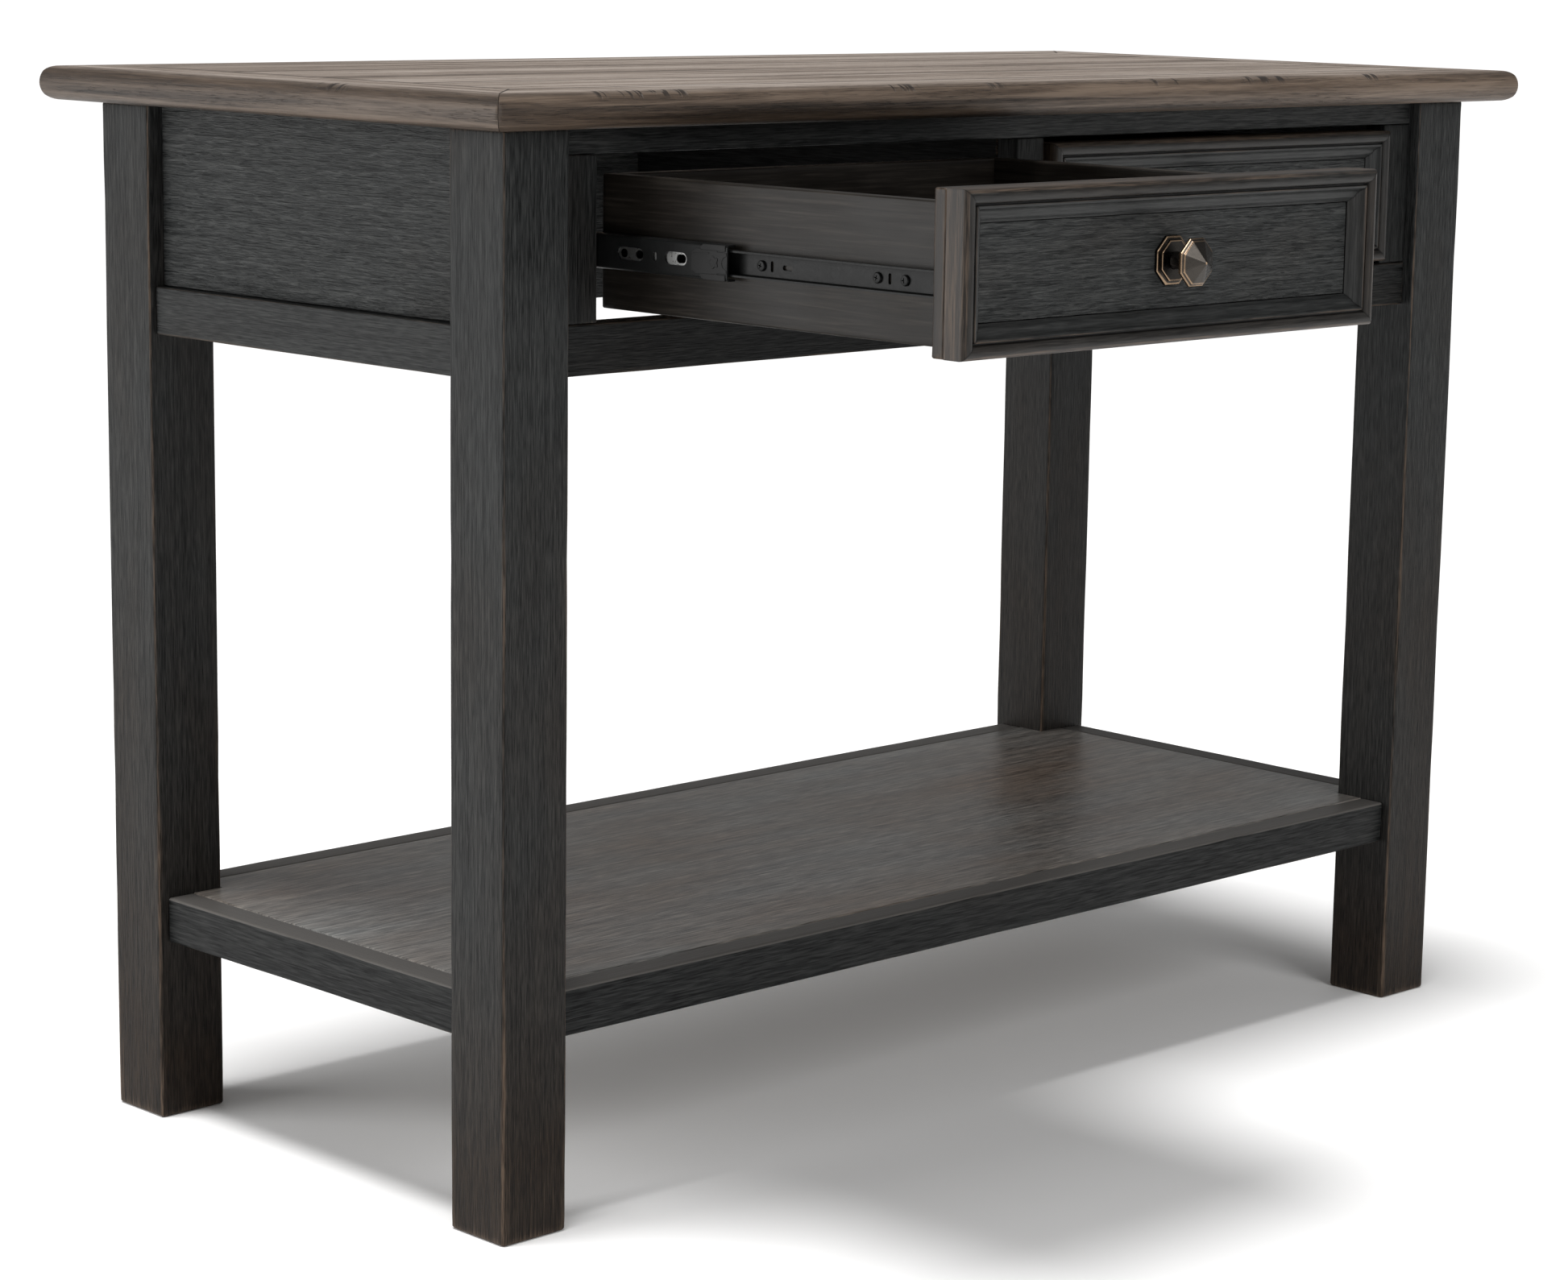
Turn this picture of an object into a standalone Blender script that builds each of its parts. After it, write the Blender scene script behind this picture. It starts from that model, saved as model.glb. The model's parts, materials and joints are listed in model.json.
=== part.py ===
"""Console table with two drawers and a low shelf.

Four square legs carry a mitred plank top, a panelled case with a front face frame,
and a shelf near the floor. Each drawer runs on a pair of three-member ball slides.
The left drawer stands fully open and the right one is shut.

+X runs along the table to the right, +Z is up, and the drawers open towards -Y.
The origin is on the floor, in the middle of the whole table with its left drawer open.
"""

import math

import bmesh
import bpy

# ---------------------------------------------------------------- driving dimensions
TABLE_HEIGHT = 0.762
TOP_LENGTH = 1.067
TOP_DEPTH = 0.508
TOP_THICKNESS = 0.024
TOP_OVERHANG = 0.032
BORDER_WIDTH = 0.057
PLANK_COUNT = 4
PLANK_THICKNESS = 0.019

LEG_SIDE = 0.0555
LEG_EDGE_RADIUS = 0.003

CASE_BOTTOM = 0.576
LOWER_RAIL_HEIGHT = 0.034
TOP_RAIL_HEIGHT = 0.018
FRONT_RECESS = 0.010
END_RAIL_RECESS = 0.005
PANEL_RECESS = 0.012
RAIL_THICKNESS = 0.020
PANEL_THICKNESS = 0.012
CENTRE_STILE_WIDTH = 0.028
OPENING_WIDTH = 0.400

SHELF_TOP = 0.1655
SHELF_EDGE_HEIGHT = 0.033
SHELF_EDGE_WIDTH = 0.022
SHELF_RECESS = 0.0075
SHELF_BOARD_THICKNESS = 0.018

DRAWER_TRAVEL = 0.318
FRONT_MARGIN = 0.003
FRONT_TOP_MARGIN = 0.0045
BACKER_THICKNESS = 0.0105
MOULDING_DEPTH = 0.0175
MOULDING_WIDTH = 0.021
FRONT_PANEL_THICKNESS = 0.0075
BOX_DEPTH = 0.310
BOX_BOTTOM = 0.6185
BOX_TOP = 0.7065
BOX_WALL = 0.012
BOX_FLOOR_THICKNESS = 0.005
BOX_FLOOR_RISE = 0.010

SLIDE_THICKNESS = 0.0127
SLIDE_LENGTH = 0.305
SLIDE_MIDDLE_LENGTH = 0.275
SLIDE_MIDDLE_SETBACK = 0.0195
SLIDE_CENTRE = 0.6572
SLIDE_SHEET = 0.0012
SLIDE_CABINET_HEIGHT = 0.0280
SLIDE_MIDDLE_HEIGHT = 0.0230
SLIDE_DRAWER_HEIGHT = 0.0166
# How far into the slide, from the opening's wall, each channel's web or mouth stands.
CABINET_MOUTH = 0.0085
MIDDLE_WEB = 0.0024
MIDDLE_MOUTH = 0.0095
DRAWER_MOUTH = 0.0050
RUNNER_BLOCK_HEIGHT = 0.048

BEAD_RADIUS = 0.0045
BEAD_RISE = 0.002475
QUIRK_WIDTH = 0.0010
QUIRK_DEPTH = 0.0022
COVE_FALL = 0.0040
MOULDING_LIP = 0.0020

KNOB_ACROSS_FLATS = 0.030
KNOB_NECK_RADIUS = 0.0055
KNOB_NECK_LENGTH = 0.0115
KNOB_REACH = 0.030
KNOB_RIM_BACK = 0.0150
PLATE_ACROSS_FLATS = 0.031
PLATE_THICKNESS = 0.0040
PLATE_STEP_INSET = 0.0035
PLATE_EDGE_INSET = 0.0008

# The clearance left between two pieces that touch, and the rounding of sawn edges.
GAP = 0.0003
ARRIS = 0.0012
ARC_STEPS = 8

# ---------------------------------------------------------------- derived places
FRAME_X = TOP_LENGTH / 2 - TOP_OVERHANG
FRAME_Y = TOP_DEPTH / 2 - TOP_OVERHANG
LEG_INNER_X = FRAME_X - LEG_SIDE
LEG_INNER_Y = FRAME_Y - LEG_SIDE
TOP_UNDERSIDE = TABLE_HEIGHT - TOP_THICKNESS
CASE_TOP = TOP_UNDERSIDE - GAP
FACE_Y = -FRAME_Y + FRONT_RECESS
FACE_BACK_Y = FACE_Y + RAIL_THICKNESS
OPENING_BOTTOM = CASE_BOTTOM + LOWER_RAIL_HEIGHT
OPENING_TOP = TOP_UNDERSIDE - TOP_RAIL_HEIGHT
OPENING_INNER_X = CENTRE_STILE_WIDTH / 2
OPENING_OUTER_X = OPENING_INNER_X + OPENING_WIDTH
BACK_PANEL_Y = FRAME_Y - PANEL_RECESS - PANEL_THICKNESS
DRAWER_CENTRE_X = (OPENING_INNER_X + OPENING_OUTER_X) / 2
DRAWER_CENTRE_Z = (OPENING_BOTTOM + FRONT_MARGIN + OPENING_TOP - FRONT_TOP_MARGIN) / 2
FRONT_WIDTH = OPENING_WIDTH - 2 * FRONT_MARGIN
FRONT_HEIGHT = OPENING_TOP - OPENING_BOTTOM - FRONT_MARGIN - FRONT_TOP_MARGIN
PANEL_FACE_Y = MOULDING_DEPTH - FRONT_PANEL_THICKNESS
BOX_WIDTH = OPENING_WIDTH - 2 * SLIDE_THICKNESS
FRONT_REACH = FRAME_Y + DRAWER_TRAVEL - PANEL_FACE_Y + KNOB_REACH
TABLE_SHIFT_Y = (FRONT_REACH - TOP_DEPTH / 2) / 2

# ---------------------------------------------------------------- scene and materials
FINISHES = {
    "weathered_top": ((0.150, 0.118, 0.098), 0.50, 0.0),
    "charcoal_paint": ((0.021, 0.023, 0.024), 0.45, 0.0),
    "drawer_box": ((0.022, 0.018, 0.015), 0.40, 0.0),
    "slide_steel": ((0.020, 0.021, 0.022), 0.40, 0.8),
    "rubbed_bronze": ((0.060, 0.045, 0.032), 0.35, 1.0),
}


def clear_scene():
    for old in list(bpy.data.objects):
        bpy.data.objects.remove(old, do_unlink=True)


def make_collection(name):
    collection = bpy.data.collections.new(name)
    bpy.context.scene.collection.children.link(collection)
    return collection


def make_material(name, colour, roughness, metallic):
    material = bpy.data.materials.new(name)
    material.use_nodes = True
    shader = material.node_tree.nodes["Principled BSDF"]
    shader.inputs["Base Color"].default_value = (*colour, 1.0)
    shader.inputs["Roughness"].default_value = roughness
    shader.inputs["Metallic"].default_value = metallic
    return material


def make_empty(name, location, parent=None):
    empty = bpy.data.objects.new(name, None)
    empty.location = location
    empty.parent = parent
    TABLE.objects.link(empty)
    return empty


def add_object(name, data, location, parent, finish):
    obj = bpy.data.objects.new(name, data)
    obj.location = location
    obj.parent = parent
    obj.data.materials.append(MATERIALS[finish])
    TABLE.objects.link(obj)
    return obj


def finish_mesh(bm, name):
    bmesh.ops.recalc_face_normals(bm, faces=bm.faces)
    mesh = bpy.data.meshes.new(name)
    bm.to_mesh(mesh)
    bm.free()
    return mesh


def add_bevel(obj, width, segments=2):
    bevel = obj.modifiers.new("Rounded edges", "BEVEL")
    bevel.width = width
    bevel.segments = segments
    bevel.limit_method = "ANGLE"


def board(name, low, high, parent, finish, edge=ARRIS, segments=2):
    """A rectangular piece between two corners, with its edges rounded."""
    size = [b - a for a, b in zip(low, high)]
    centre = [(a + b) / 2 for a, b in zip(low, high)]
    bm = bmesh.new()
    bmesh.ops.create_cube(bm, size=1.0)
    bmesh.ops.scale(bm, verts=bm.verts, vec=size)
    obj = add_object(name, finish_mesh(bm, name), centre, parent, finish)
    add_bevel(obj, edge, segments)
    return obj


def outline(name, points, thickness, location, parent, finish):
    """A flat outline in the object's XY plane, extruded to a thickness centred on it."""
    curve = bpy.data.curves.new(name, "CURVE")
    curve.dimensions = "2D"
    curve.fill_mode = "BOTH"
    curve.extrude = thickness / 2
    spline = curve.splines.new("POLY")
    spline.points.add(len(points) - 1)
    for point, (x, y) in zip(spline.points, points):
        point.co = (x, y, 0.0, 1.0)
    spline.use_cyclic_u = True
    return add_object(name, curve, location, parent, finish)


def turned_octagon(name, profile, location, parent, finish):
    """A profile of (distance to a flat, height) swept round in eight flats, facing -Y."""
    half_flat = math.pi / 8
    bm = bmesh.new()
    points = []
    for flat, height in profile:
        radius = flat / math.cos(half_flat)
        corner = (radius * math.cos(half_flat), radius * math.sin(half_flat), height)
        points.append(bm.verts.new(corner))
    for upper, lower in zip(points, points[1:]):
        bm.edges.new((upper, lower))
    mesh = bpy.data.meshes.new(name)
    bm.to_mesh(mesh)
    bm.free()
    obj = add_object(name, mesh, location, parent, finish)
    obj.rotation_euler.x = math.pi / 2
    screw = obj.modifiers.new("Turned", "SCREW")
    screw.steps = 8
    screw.render_steps = 8
    screw.use_smooth_shade = False
    screw.use_merge_vertices = True
    screw.merge_threshold = 0.00001
    return obj


# ---------------------------------------------------------------- table top
def bullnose_profile():
    """(inward, height) points of a border strip whose outer edge is a full half round."""
    radius = TOP_THICKNESS / 2
    width = BORDER_WIDTH - GAP
    points = [(width, 0.0), (width, TOP_THICKNESS - ARRIS), (width - ARRIS, TOP_THICKNESS)]
    for step in range(ARC_STEPS * 2 + 1):
        angle = math.pi * (0.5 - step / (ARC_STEPS * 2))
        points.append((radius - radius * math.cos(angle), radius + radius * math.sin(angle)))
    return points


def mitred_strip(name, profile, length, turn, location, finish):
    """A profile run along X and cut at 45 degrees at both ends, its outer edge to -Y."""
    bm = bmesh.new()
    half = length / 2 - GAP * math.sqrt(0.5)
    section = bm.faces.new([bm.verts.new((-half, inward, height)) for inward, height in profile])
    run = bmesh.ops.extrude_face_region(bm, geom=[section])["geom"]
    moved = [item for item in run if isinstance(item, bmesh.types.BMVert)]
    bmesh.ops.translate(bm, verts=moved, vec=(2 * half, 0.0, 0.0))
    for vert in bm.verts:
        vert.co.x -= math.copysign(vert.co.y, vert.co.x)
    obj = add_object(name, finish_mesh(bm, name), location, ROOT, finish)
    obj.rotation_euler.z = turn
    return obj


def build_top():
    profile = bullnose_profile()
    strips = (
        ("top_front_border", TOP_LENGTH, 0.0, (0.0, -TOP_DEPTH / 2)),
        ("top_right_border", TOP_DEPTH, math.pi / 2, (TOP_LENGTH / 2, 0.0)),
        ("top_back_border", TOP_LENGTH, math.pi, (0.0, TOP_DEPTH / 2)),
        ("top_left_border", TOP_DEPTH, -math.pi / 2, (-TOP_LENGTH / 2, 0.0)),
    )
    for name, length, turn, (x, y) in strips:
        mitred_strip(name, profile, length, turn, (x, y, TOP_UNDERSIDE), "weathered_top")
    field_x = TOP_LENGTH / 2 - BORDER_WIDTH
    field_y = TOP_DEPTH / 2 - BORDER_WIDTH
    pitch = 2 * field_y / PLANK_COUNT
    for index in range(PLANK_COUNT):
        front = -field_y + index * pitch
        board(
            f"top_plank_{index + 1}",
            (-field_x + GAP / 2, front + GAP / 2, TABLE_HEIGHT - PLANK_THICKNESS),
            (field_x - GAP / 2, front + pitch - GAP / 2, TABLE_HEIGHT),
            ROOT,
            "weathered_top",
        )


# ---------------------------------------------------------------- legs and case
def build_legs():
    places = (
        ("front_left_leg", -1, -1),
        ("front_right_leg", 1, -1),
        ("back_left_leg", -1, 1),
        ("back_right_leg", 1, 1),
    )
    for name, side_x, side_y in places:
        x = sorted((side_x * LEG_INNER_X, side_x * FRAME_X))
        y = sorted((side_y * LEG_INNER_Y, side_y * FRAME_Y))
        board(
            name,
            (x[0], y[0], 0.0),
            (x[1], y[1], CASE_TOP),
            ROOT,
            "charcoal_paint",
            edge=LEG_EDGE_RADIUS,
            segments=3,
        )


def build_ends():
    y = LEG_INNER_Y - GAP
    for label, side in (("left", -1), ("right", 1)):
        rail_out = side * (FRAME_X - END_RAIL_RECESS)
        rail_x = sorted((rail_out, rail_out - side * RAIL_THICKNESS))
        board(
            f"{label}_end_rail",
            (rail_x[0], -y, CASE_BOTTOM),
            (rail_x[1], y, OPENING_BOTTOM),
            ROOT,
            "charcoal_paint",
        )
        panel_out = side * (FRAME_X - PANEL_RECESS)
        panel_x = sorted((panel_out, panel_out - side * PANEL_THICKNESS))
        board(
            f"{label}_end_panel",
            (panel_x[0], -y, OPENING_BOTTOM + GAP),
            (panel_x[1], y, CASE_TOP),
            ROOT,
            "charcoal_paint",
        )


def build_face_frame():
    x = LEG_INNER_X - GAP
    board(
        "front_lower_rail",
        (-x, FACE_Y, CASE_BOTTOM),
        (x, FACE_BACK_Y, OPENING_BOTTOM),
        ROOT,
        "charcoal_paint",
    )
    board(
        "front_top_rail",
        (-x, FACE_Y, OPENING_TOP),
        (x, FACE_BACK_Y, CASE_TOP),
        ROOT,
        "charcoal_paint",
    )
    stiles = (
        ("left_stile", -x, -OPENING_OUTER_X),
        ("centre_stile", -OPENING_INNER_X, OPENING_INNER_X),
        ("right_stile", OPENING_OUTER_X, x),
    )
    for name, low_x, high_x in stiles:
        board(
            name,
            (low_x, FACE_Y, OPENING_BOTTOM + GAP),
            (high_x, FACE_BACK_Y, OPENING_TOP - GAP),
            ROOT,
            "charcoal_paint",
        )


def build_case_inside():
    x = LEG_INNER_X - GAP
    board(
        "back_panel",
        (-x, BACK_PANEL_Y, CASE_BOTTOM),
        (x, BACK_PANEL_Y + PANEL_THICKNESS, CASE_TOP),
        ROOT,
        "charcoal_paint",
    )
    board(
        "centre_divider",
        (-OPENING_INNER_X + GAP, FACE_BACK_Y + GAP, OPENING_BOTTOM),
        (OPENING_INNER_X - GAP, BACK_PANEL_Y - GAP, CASE_TOP),
        ROOT,
        "drawer_box",
    )
    for label, side in (("left", -1), ("right", 1)):
        block_x = sorted((side * (OPENING_OUTER_X + GAP), side * x))
        board(
            f"{label}_runner_block",
            (block_x[0], FACE_BACK_Y + GAP, SLIDE_CENTRE - RUNNER_BLOCK_HEIGHT / 2),
            (block_x[1], BACK_PANEL_Y - GAP, SLIDE_CENTRE + RUNNER_BLOCK_HEIGHT / 2),
            ROOT,
            "drawer_box",
        )


# ---------------------------------------------------------------- shelf
def build_shelf():
    outer_x = FRAME_X - SHELF_RECESS
    outer_y = FRAME_Y - SHELF_RECESS
    board_x = outer_x - SHELF_EDGE_WIDTH - GAP
    board_y = outer_y - SHELF_EDGE_WIDTH - GAP
    notch_x = LEG_INNER_X - GAP
    notch_y = LEG_INNER_Y - GAP
    bottom = SHELF_TOP - SHELF_EDGE_HEIGHT
    quarter = [(board_x, notch_y), (notch_x, notch_y), (notch_x, board_y)]
    corners = quarter + [(-x, y) for x, y in reversed(quarter)]
    corners += [(-x, -y) for x, y in corners]
    outline(
        "shelf_board",
        corners,
        SHELF_BOARD_THICKNESS,
        (0.0, 0.0, SHELF_TOP - SHELF_BOARD_THICKNESS / 2),
        ROOT,
        "charcoal_paint",
    )
    for label, side in (("front", -1), ("back", 1)):
        y = sorted((side * outer_y, side * (outer_y - SHELF_EDGE_WIDTH)))
        board(
            f"shelf_{label}_edge",
            (-notch_x, y[0], bottom),
            (notch_x, y[1], SHELF_TOP),
            ROOT,
            "charcoal_paint",
        )
    for label, side in (("left", -1), ("right", 1)):
        x = sorted((side * outer_x, side * (outer_x - SHELF_EDGE_WIDTH)))
        board(
            f"shelf_{label}_edge",
            (x[0], -notch_y, bottom),
            (x[1], notch_y, SHELF_TOP),
            ROOT,
            "charcoal_paint",
        )


# ---------------------------------------------------------------- drawer slides
def channel(name, web_x, mouth_x, half_height, length, front_y, parent):
    """A pressed channel along Y: its web at web_x and its two flanges reaching to mouth_x."""
    sheet = math.copysign(SLIDE_SHEET, mouth_x - web_x)
    inside = half_height - SLIDE_SHEET
    points = [
        (web_x, -half_height),
        (mouth_x, -half_height),
        (mouth_x, -inside),
        (web_x + sheet, -inside),
        (web_x + sheet, inside),
        (mouth_x, inside),
        (mouth_x, half_height),
        (web_x, half_height),
    ]
    place = (0.0, front_y + length / 2, SLIDE_CENTRE)
    obj = outline(name, points, length, place, parent, "slide_steel")
    obj.rotation_euler.x = math.pi / 2
    return obj


def build_slides(label, drawer, middle, centre_x):
    """Both ball slides of one drawer. Each is three channels, one inside the next."""
    front_y = -FRAME_Y + MOULDING_DEPTH + BACKER_THICKNESS + 2 * GAP
    for hand, side in (("left", -1), ("right", 1)):
        wall = side * OPENING_WIDTH / 2
        channel(
            f"{label}_slide_{hand}_cabinet_member",
            centre_x + wall - side * GAP,
            centre_x + wall - side * CABINET_MOUTH,
            SLIDE_CABINET_HEIGHT / 2,
            SLIDE_LENGTH,
            front_y,
            ROOT,
        )
        channel(
            f"{label}_slide_{hand}_middle_member",
            wall - side * MIDDLE_WEB,
            wall - side * MIDDLE_MOUTH,
            SLIDE_MIDDLE_HEIGHT / 2,
            SLIDE_MIDDLE_LENGTH,
            front_y + SLIDE_MIDDLE_SETBACK,
            middle,
        )
        channel(
            f"{label}_slide_{hand}_drawer_member",
            wall - side * (SLIDE_THICKNESS - GAP),
            wall - side * DRAWER_MOUTH,
            SLIDE_DRAWER_HEIGHT / 2,
            SLIDE_LENGTH,
            front_y,
            drawer,
        )


# ---------------------------------------------------------------- drawers
def moulding_steps():
    """(inward, rise) steps from the outer edge: a rounded bead, a quirk, then a cove."""
    steps = []
    for index in range(ARC_STEPS):
        start = math.pi * index / ARC_STEPS
        end = math.pi * (index + 1) / ARC_STEPS
        inward = BEAD_RADIUS * (math.cos(start) - math.cos(end))
        rise = BEAD_RISE * (math.sin(end) - math.sin(start))
        steps.append((inward, rise))
    steps.append((QUIRK_WIDTH, -QUIRK_DEPTH))
    cove = MOULDING_WIDTH - 2 * BEAD_RADIUS - QUIRK_WIDTH - MOULDING_LIP
    for index in range(ARC_STEPS // 2):
        start = 0.5 * math.pi * index / (ARC_STEPS // 2)
        end = 0.5 * math.pi * (index + 1) / (ARC_STEPS // 2)
        inward = cove * (math.cos(start) - math.cos(end))
        rise = -COVE_FALL * (math.sin(end) - math.sin(start))
        steps.append((inward, rise))
    return steps


def moulding_frame(name, parent):
    """The mitred picture-frame moulding round a drawer front, open in the middle."""
    depth = MOULDING_DEPTH - BEAD_RISE
    bm = bmesh.new()
    bmesh.ops.create_cube(bm, size=1.0)
    bmesh.ops.scale(bm, verts=bm.verts, vec=(FRONT_WIDTH, depth, FRONT_HEIGHT))
    bmesh.ops.translate(bm, verts=bm.verts, vec=(0.0, BEAD_RISE + depth / 2, 0.0))
    bm.faces.ensure_lookup_table()
    front = min(bm.faces, key=lambda face: face.calc_center_median().y)
    back = max(bm.faces, key=lambda face: face.calc_center_median().y)
    inset_so_far = 0.0
    for inward, rise in moulding_steps():
        bmesh.ops.inset_region(
            bm, faces=[front], thickness=inward, depth=rise, use_even_offset=True
        )
        inset_so_far += inward
    last = MOULDING_WIDTH - inset_so_far
    bmesh.ops.inset_region(bm, faces=[front], thickness=last, depth=0.0, use_even_offset=True)
    bmesh.ops.inset_region(
        bm, faces=[back], thickness=MOULDING_WIDTH, depth=0.0, use_even_offset=True
    )
    rims = list(front.edges) + list(back.edges)
    bmesh.ops.delete(bm, geom=[front, back], context="FACES_ONLY")
    bmesh.ops.bridge_loops(bm, edges=rims)
    return add_object(name, finish_mesh(bm, name), (0.0, 0.0, 0.0), parent, "charcoal_paint")


def build_drawer_front(label, drawer):
    """Backer, moulding and sunk panel, then the knob on its octagonal plate."""
    half_x = FRONT_WIDTH / 2
    half_z = FRONT_HEIGHT / 2
    front = make_empty(f"{label}_front_centre", (0.0, -FRAME_Y, DRAWER_CENTRE_Z), drawer)
    board(
        f"{label}_front_backer",
        (-half_x, MOULDING_DEPTH + GAP, -half_z),
        (half_x, MOULDING_DEPTH + BACKER_THICKNESS, half_z),
        front,
        "charcoal_paint",
    )
    moulding_frame(f"{label}_front_moulding", front)
    field_x = half_x - MOULDING_WIDTH - GAP
    field_z = half_z - MOULDING_WIDTH - GAP
    board(
        f"{label}_front_panel",
        (-field_x, PANEL_FACE_Y, -field_z),
        (field_x, MOULDING_DEPTH, field_z),
        front,
        "charcoal_paint",
        edge=ARRIS / 2,
        segments=1,
    )
    plate_y = PANEL_FACE_Y - GAP
    plate_flat = PLATE_ACROSS_FLATS / 2
    plate_profile = [
        (0.0, PLATE_THICKNESS),
        (plate_flat - PLATE_STEP_INSET, PLATE_THICKNESS),
        (plate_flat - PLATE_STEP_INSET, PLATE_THICKNESS * 0.70),
        (plate_flat - PLATE_EDGE_INSET, PLATE_THICKNESS * 0.60),
        (plate_flat, PLATE_THICKNESS * 0.40),
        (plate_flat, 0.0),
        (0.0, 0.0),
    ]
    turned_octagon(
        f"{label}_knob_plate", plate_profile, (0.0, plate_y, 0.0), front, "rubbed_bronze"
    )
    head = KNOB_ACROSS_FLATS / 2
    reach = KNOB_REACH - PLATE_THICKNESS - 2 * GAP
    knob_profile = [
        (0.0, reach),
        (head - 0.0015, KNOB_RIM_BACK + 0.0032),
        (head - 0.0012, KNOB_RIM_BACK + 0.0022),
        (head, KNOB_RIM_BACK + 0.0014),
        (head, KNOB_RIM_BACK),
        (head - 0.0030, KNOB_RIM_BACK - 0.0015),
        (KNOB_NECK_RADIUS, KNOB_NECK_LENGTH - 0.0030),
        (KNOB_NECK_RADIUS, 0.0015),
        (KNOB_NECK_RADIUS + 0.0015, 0.0),
        (0.0, 0.0),
    ]
    knob_y = plate_y - PLATE_THICKNESS - GAP
    turned_octagon(f"{label}_knob", knob_profile, (0.0, knob_y, 0.0), front, "rubbed_bronze")


def build_drawer_box(label, drawer):
    """Two sides, a back and a raised floor, fixed to the back of the front's backer."""
    half_x = BOX_WIDTH / 2
    front_y = -FRAME_Y + MOULDING_DEPTH + BACKER_THICKNESS + GAP
    back_y = front_y + BOX_DEPTH
    for hand, side in (("left", -1), ("right", 1)):
        x = sorted((side * half_x, side * (half_x - BOX_WALL)))
        board(
            f"{label}_box_{hand}_side",
            (x[0], front_y, BOX_BOTTOM),
            (x[1], back_y, BOX_TOP),
            drawer,
            "drawer_box",
        )
    inner_x = half_x - BOX_WALL - GAP
    board(
        f"{label}_box_back",
        (-inner_x, back_y - BOX_WALL, BOX_BOTTOM),
        (inner_x, back_y, BOX_TOP),
        drawer,
        "drawer_box",
    )
    floor_z = BOX_BOTTOM + BOX_FLOOR_RISE
    board(
        f"{label}_box_bottom",
        (-inner_x, front_y, floor_z),
        (inner_x, back_y - BOX_WALL - GAP, floor_z + BOX_FLOOR_THICKNESS),
        drawer,
        "drawer_box",
        edge=ARRIS / 2,
        segments=1,
    )


def build_drawers():
    """Each drawer and its middle slide members stand on their own empties, which slide in Y."""
    for label, side, opened in (("left_drawer", -1, DRAWER_TRAVEL), ("right_drawer", 1, 0.0)):
        centre_x = side * DRAWER_CENTRE_X
        drawer = make_empty(f"{label}_slide_axis", (centre_x, -opened, 0.0), ROOT)
        middle = make_empty(f"{label}_middle_axis", (centre_x, -opened / 2, 0.0), ROOT)
        build_drawer_front(label, drawer)
        build_drawer_box(label, drawer)
        build_slides(label, drawer, middle, centre_x)


clear_scene()
TABLE = make_collection("console_table")
MATERIALS = {name: make_material(name, *finish) for name, finish in FINISHES.items()}
ROOT = make_empty("table_centre", (0.0, TABLE_SHIFT_Y, 0.0))
build_top()
build_legs()
build_ends()
build_face_frame()
build_case_inside()
build_shelf()
build_drawers()
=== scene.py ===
import json
import math
import random

import bmesh
import bpy
from mathutils import Matrix, Vector


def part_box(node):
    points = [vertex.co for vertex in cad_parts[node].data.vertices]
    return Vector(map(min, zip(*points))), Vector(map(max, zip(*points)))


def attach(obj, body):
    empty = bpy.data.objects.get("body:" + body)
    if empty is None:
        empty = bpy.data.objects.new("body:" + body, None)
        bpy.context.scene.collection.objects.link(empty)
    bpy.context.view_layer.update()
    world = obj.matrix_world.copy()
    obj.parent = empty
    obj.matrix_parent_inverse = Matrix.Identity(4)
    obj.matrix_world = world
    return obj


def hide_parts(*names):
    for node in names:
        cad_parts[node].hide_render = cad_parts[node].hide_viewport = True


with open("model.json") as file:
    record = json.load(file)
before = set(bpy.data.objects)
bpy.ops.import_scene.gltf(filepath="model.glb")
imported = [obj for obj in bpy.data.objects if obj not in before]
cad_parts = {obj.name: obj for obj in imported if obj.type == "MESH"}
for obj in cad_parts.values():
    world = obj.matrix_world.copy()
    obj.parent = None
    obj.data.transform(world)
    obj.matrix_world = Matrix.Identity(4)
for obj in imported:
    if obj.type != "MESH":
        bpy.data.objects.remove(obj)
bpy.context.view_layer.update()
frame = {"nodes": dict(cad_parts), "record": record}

X, Y, Z = 0, 1, 2
MM = 0.001
# Mesh rows at a board's edge: parts of its rounding, then steps past it onto the flat.
ROUNDED_ROWS = (0.0, 0.3, 0.65, 1.0)
FLAT_ROWS = (2.5 * MM, 7 * MM)
LEAST_ROW_GAP = 0.2 * MM
SAME_ROW = 0.001 * MM
# How far in from an edge its wear fades.
WEAR_FADE = 2.2 * MM
# Steps in from a mitred strip's ends, and how near to the mitre it is dark.
MITRE_STEPS = [1.5 * MM, 3 * MM, 4.5 * MM, 6 * MM, 12 * MM]
MITRE_SHADE = 1.0 * MM

# Which body each node rides on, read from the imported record.
BODY_OF = {}
for body_name, members in frame["record"]["behaviour"]["bodies"].items():
    for member in members:
        BODY_OF[member] = body_name


# ==================== colours
# Linear colours. A list of (position, colour) pairs is a ramp from dark lines to light ones.
CHARCOAL = ((0.0028, 0.0031, 0.0032), (0.0142, 0.0151, 0.0151), (0.0360, 0.0370, 0.0362))
UMBER = ((0.0032, 0.0020, 0.0014), (0.0125, 0.0086, 0.0060), (0.0300, 0.0210, 0.0145))
BARE_WOOD = [(0.40, (0.018, 0.0125, 0.009)), (0.60, (0.094, 0.066, 0.047))]
PALE_DUST_AND_SHEEN = (0.098, 0.092, 0.086)
DEEP_SHADE = (0.002, 0.002, 0.002)
TAUPE = [
    (0.40, (0.076, 0.055, 0.040)),
    (0.47, (0.180, 0.141, 0.113)),
    (0.53, (0.285, 0.234, 0.196)),
    (0.60, (0.395, 0.340, 0.298)),
]
EDGE_BROWN = [
    (0.39, (0.019, 0.0125, 0.0084)),
    (0.50, (0.068, 0.0475, 0.0335)),
    (0.61, (0.143, 0.106, 0.079)),
]
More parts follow.
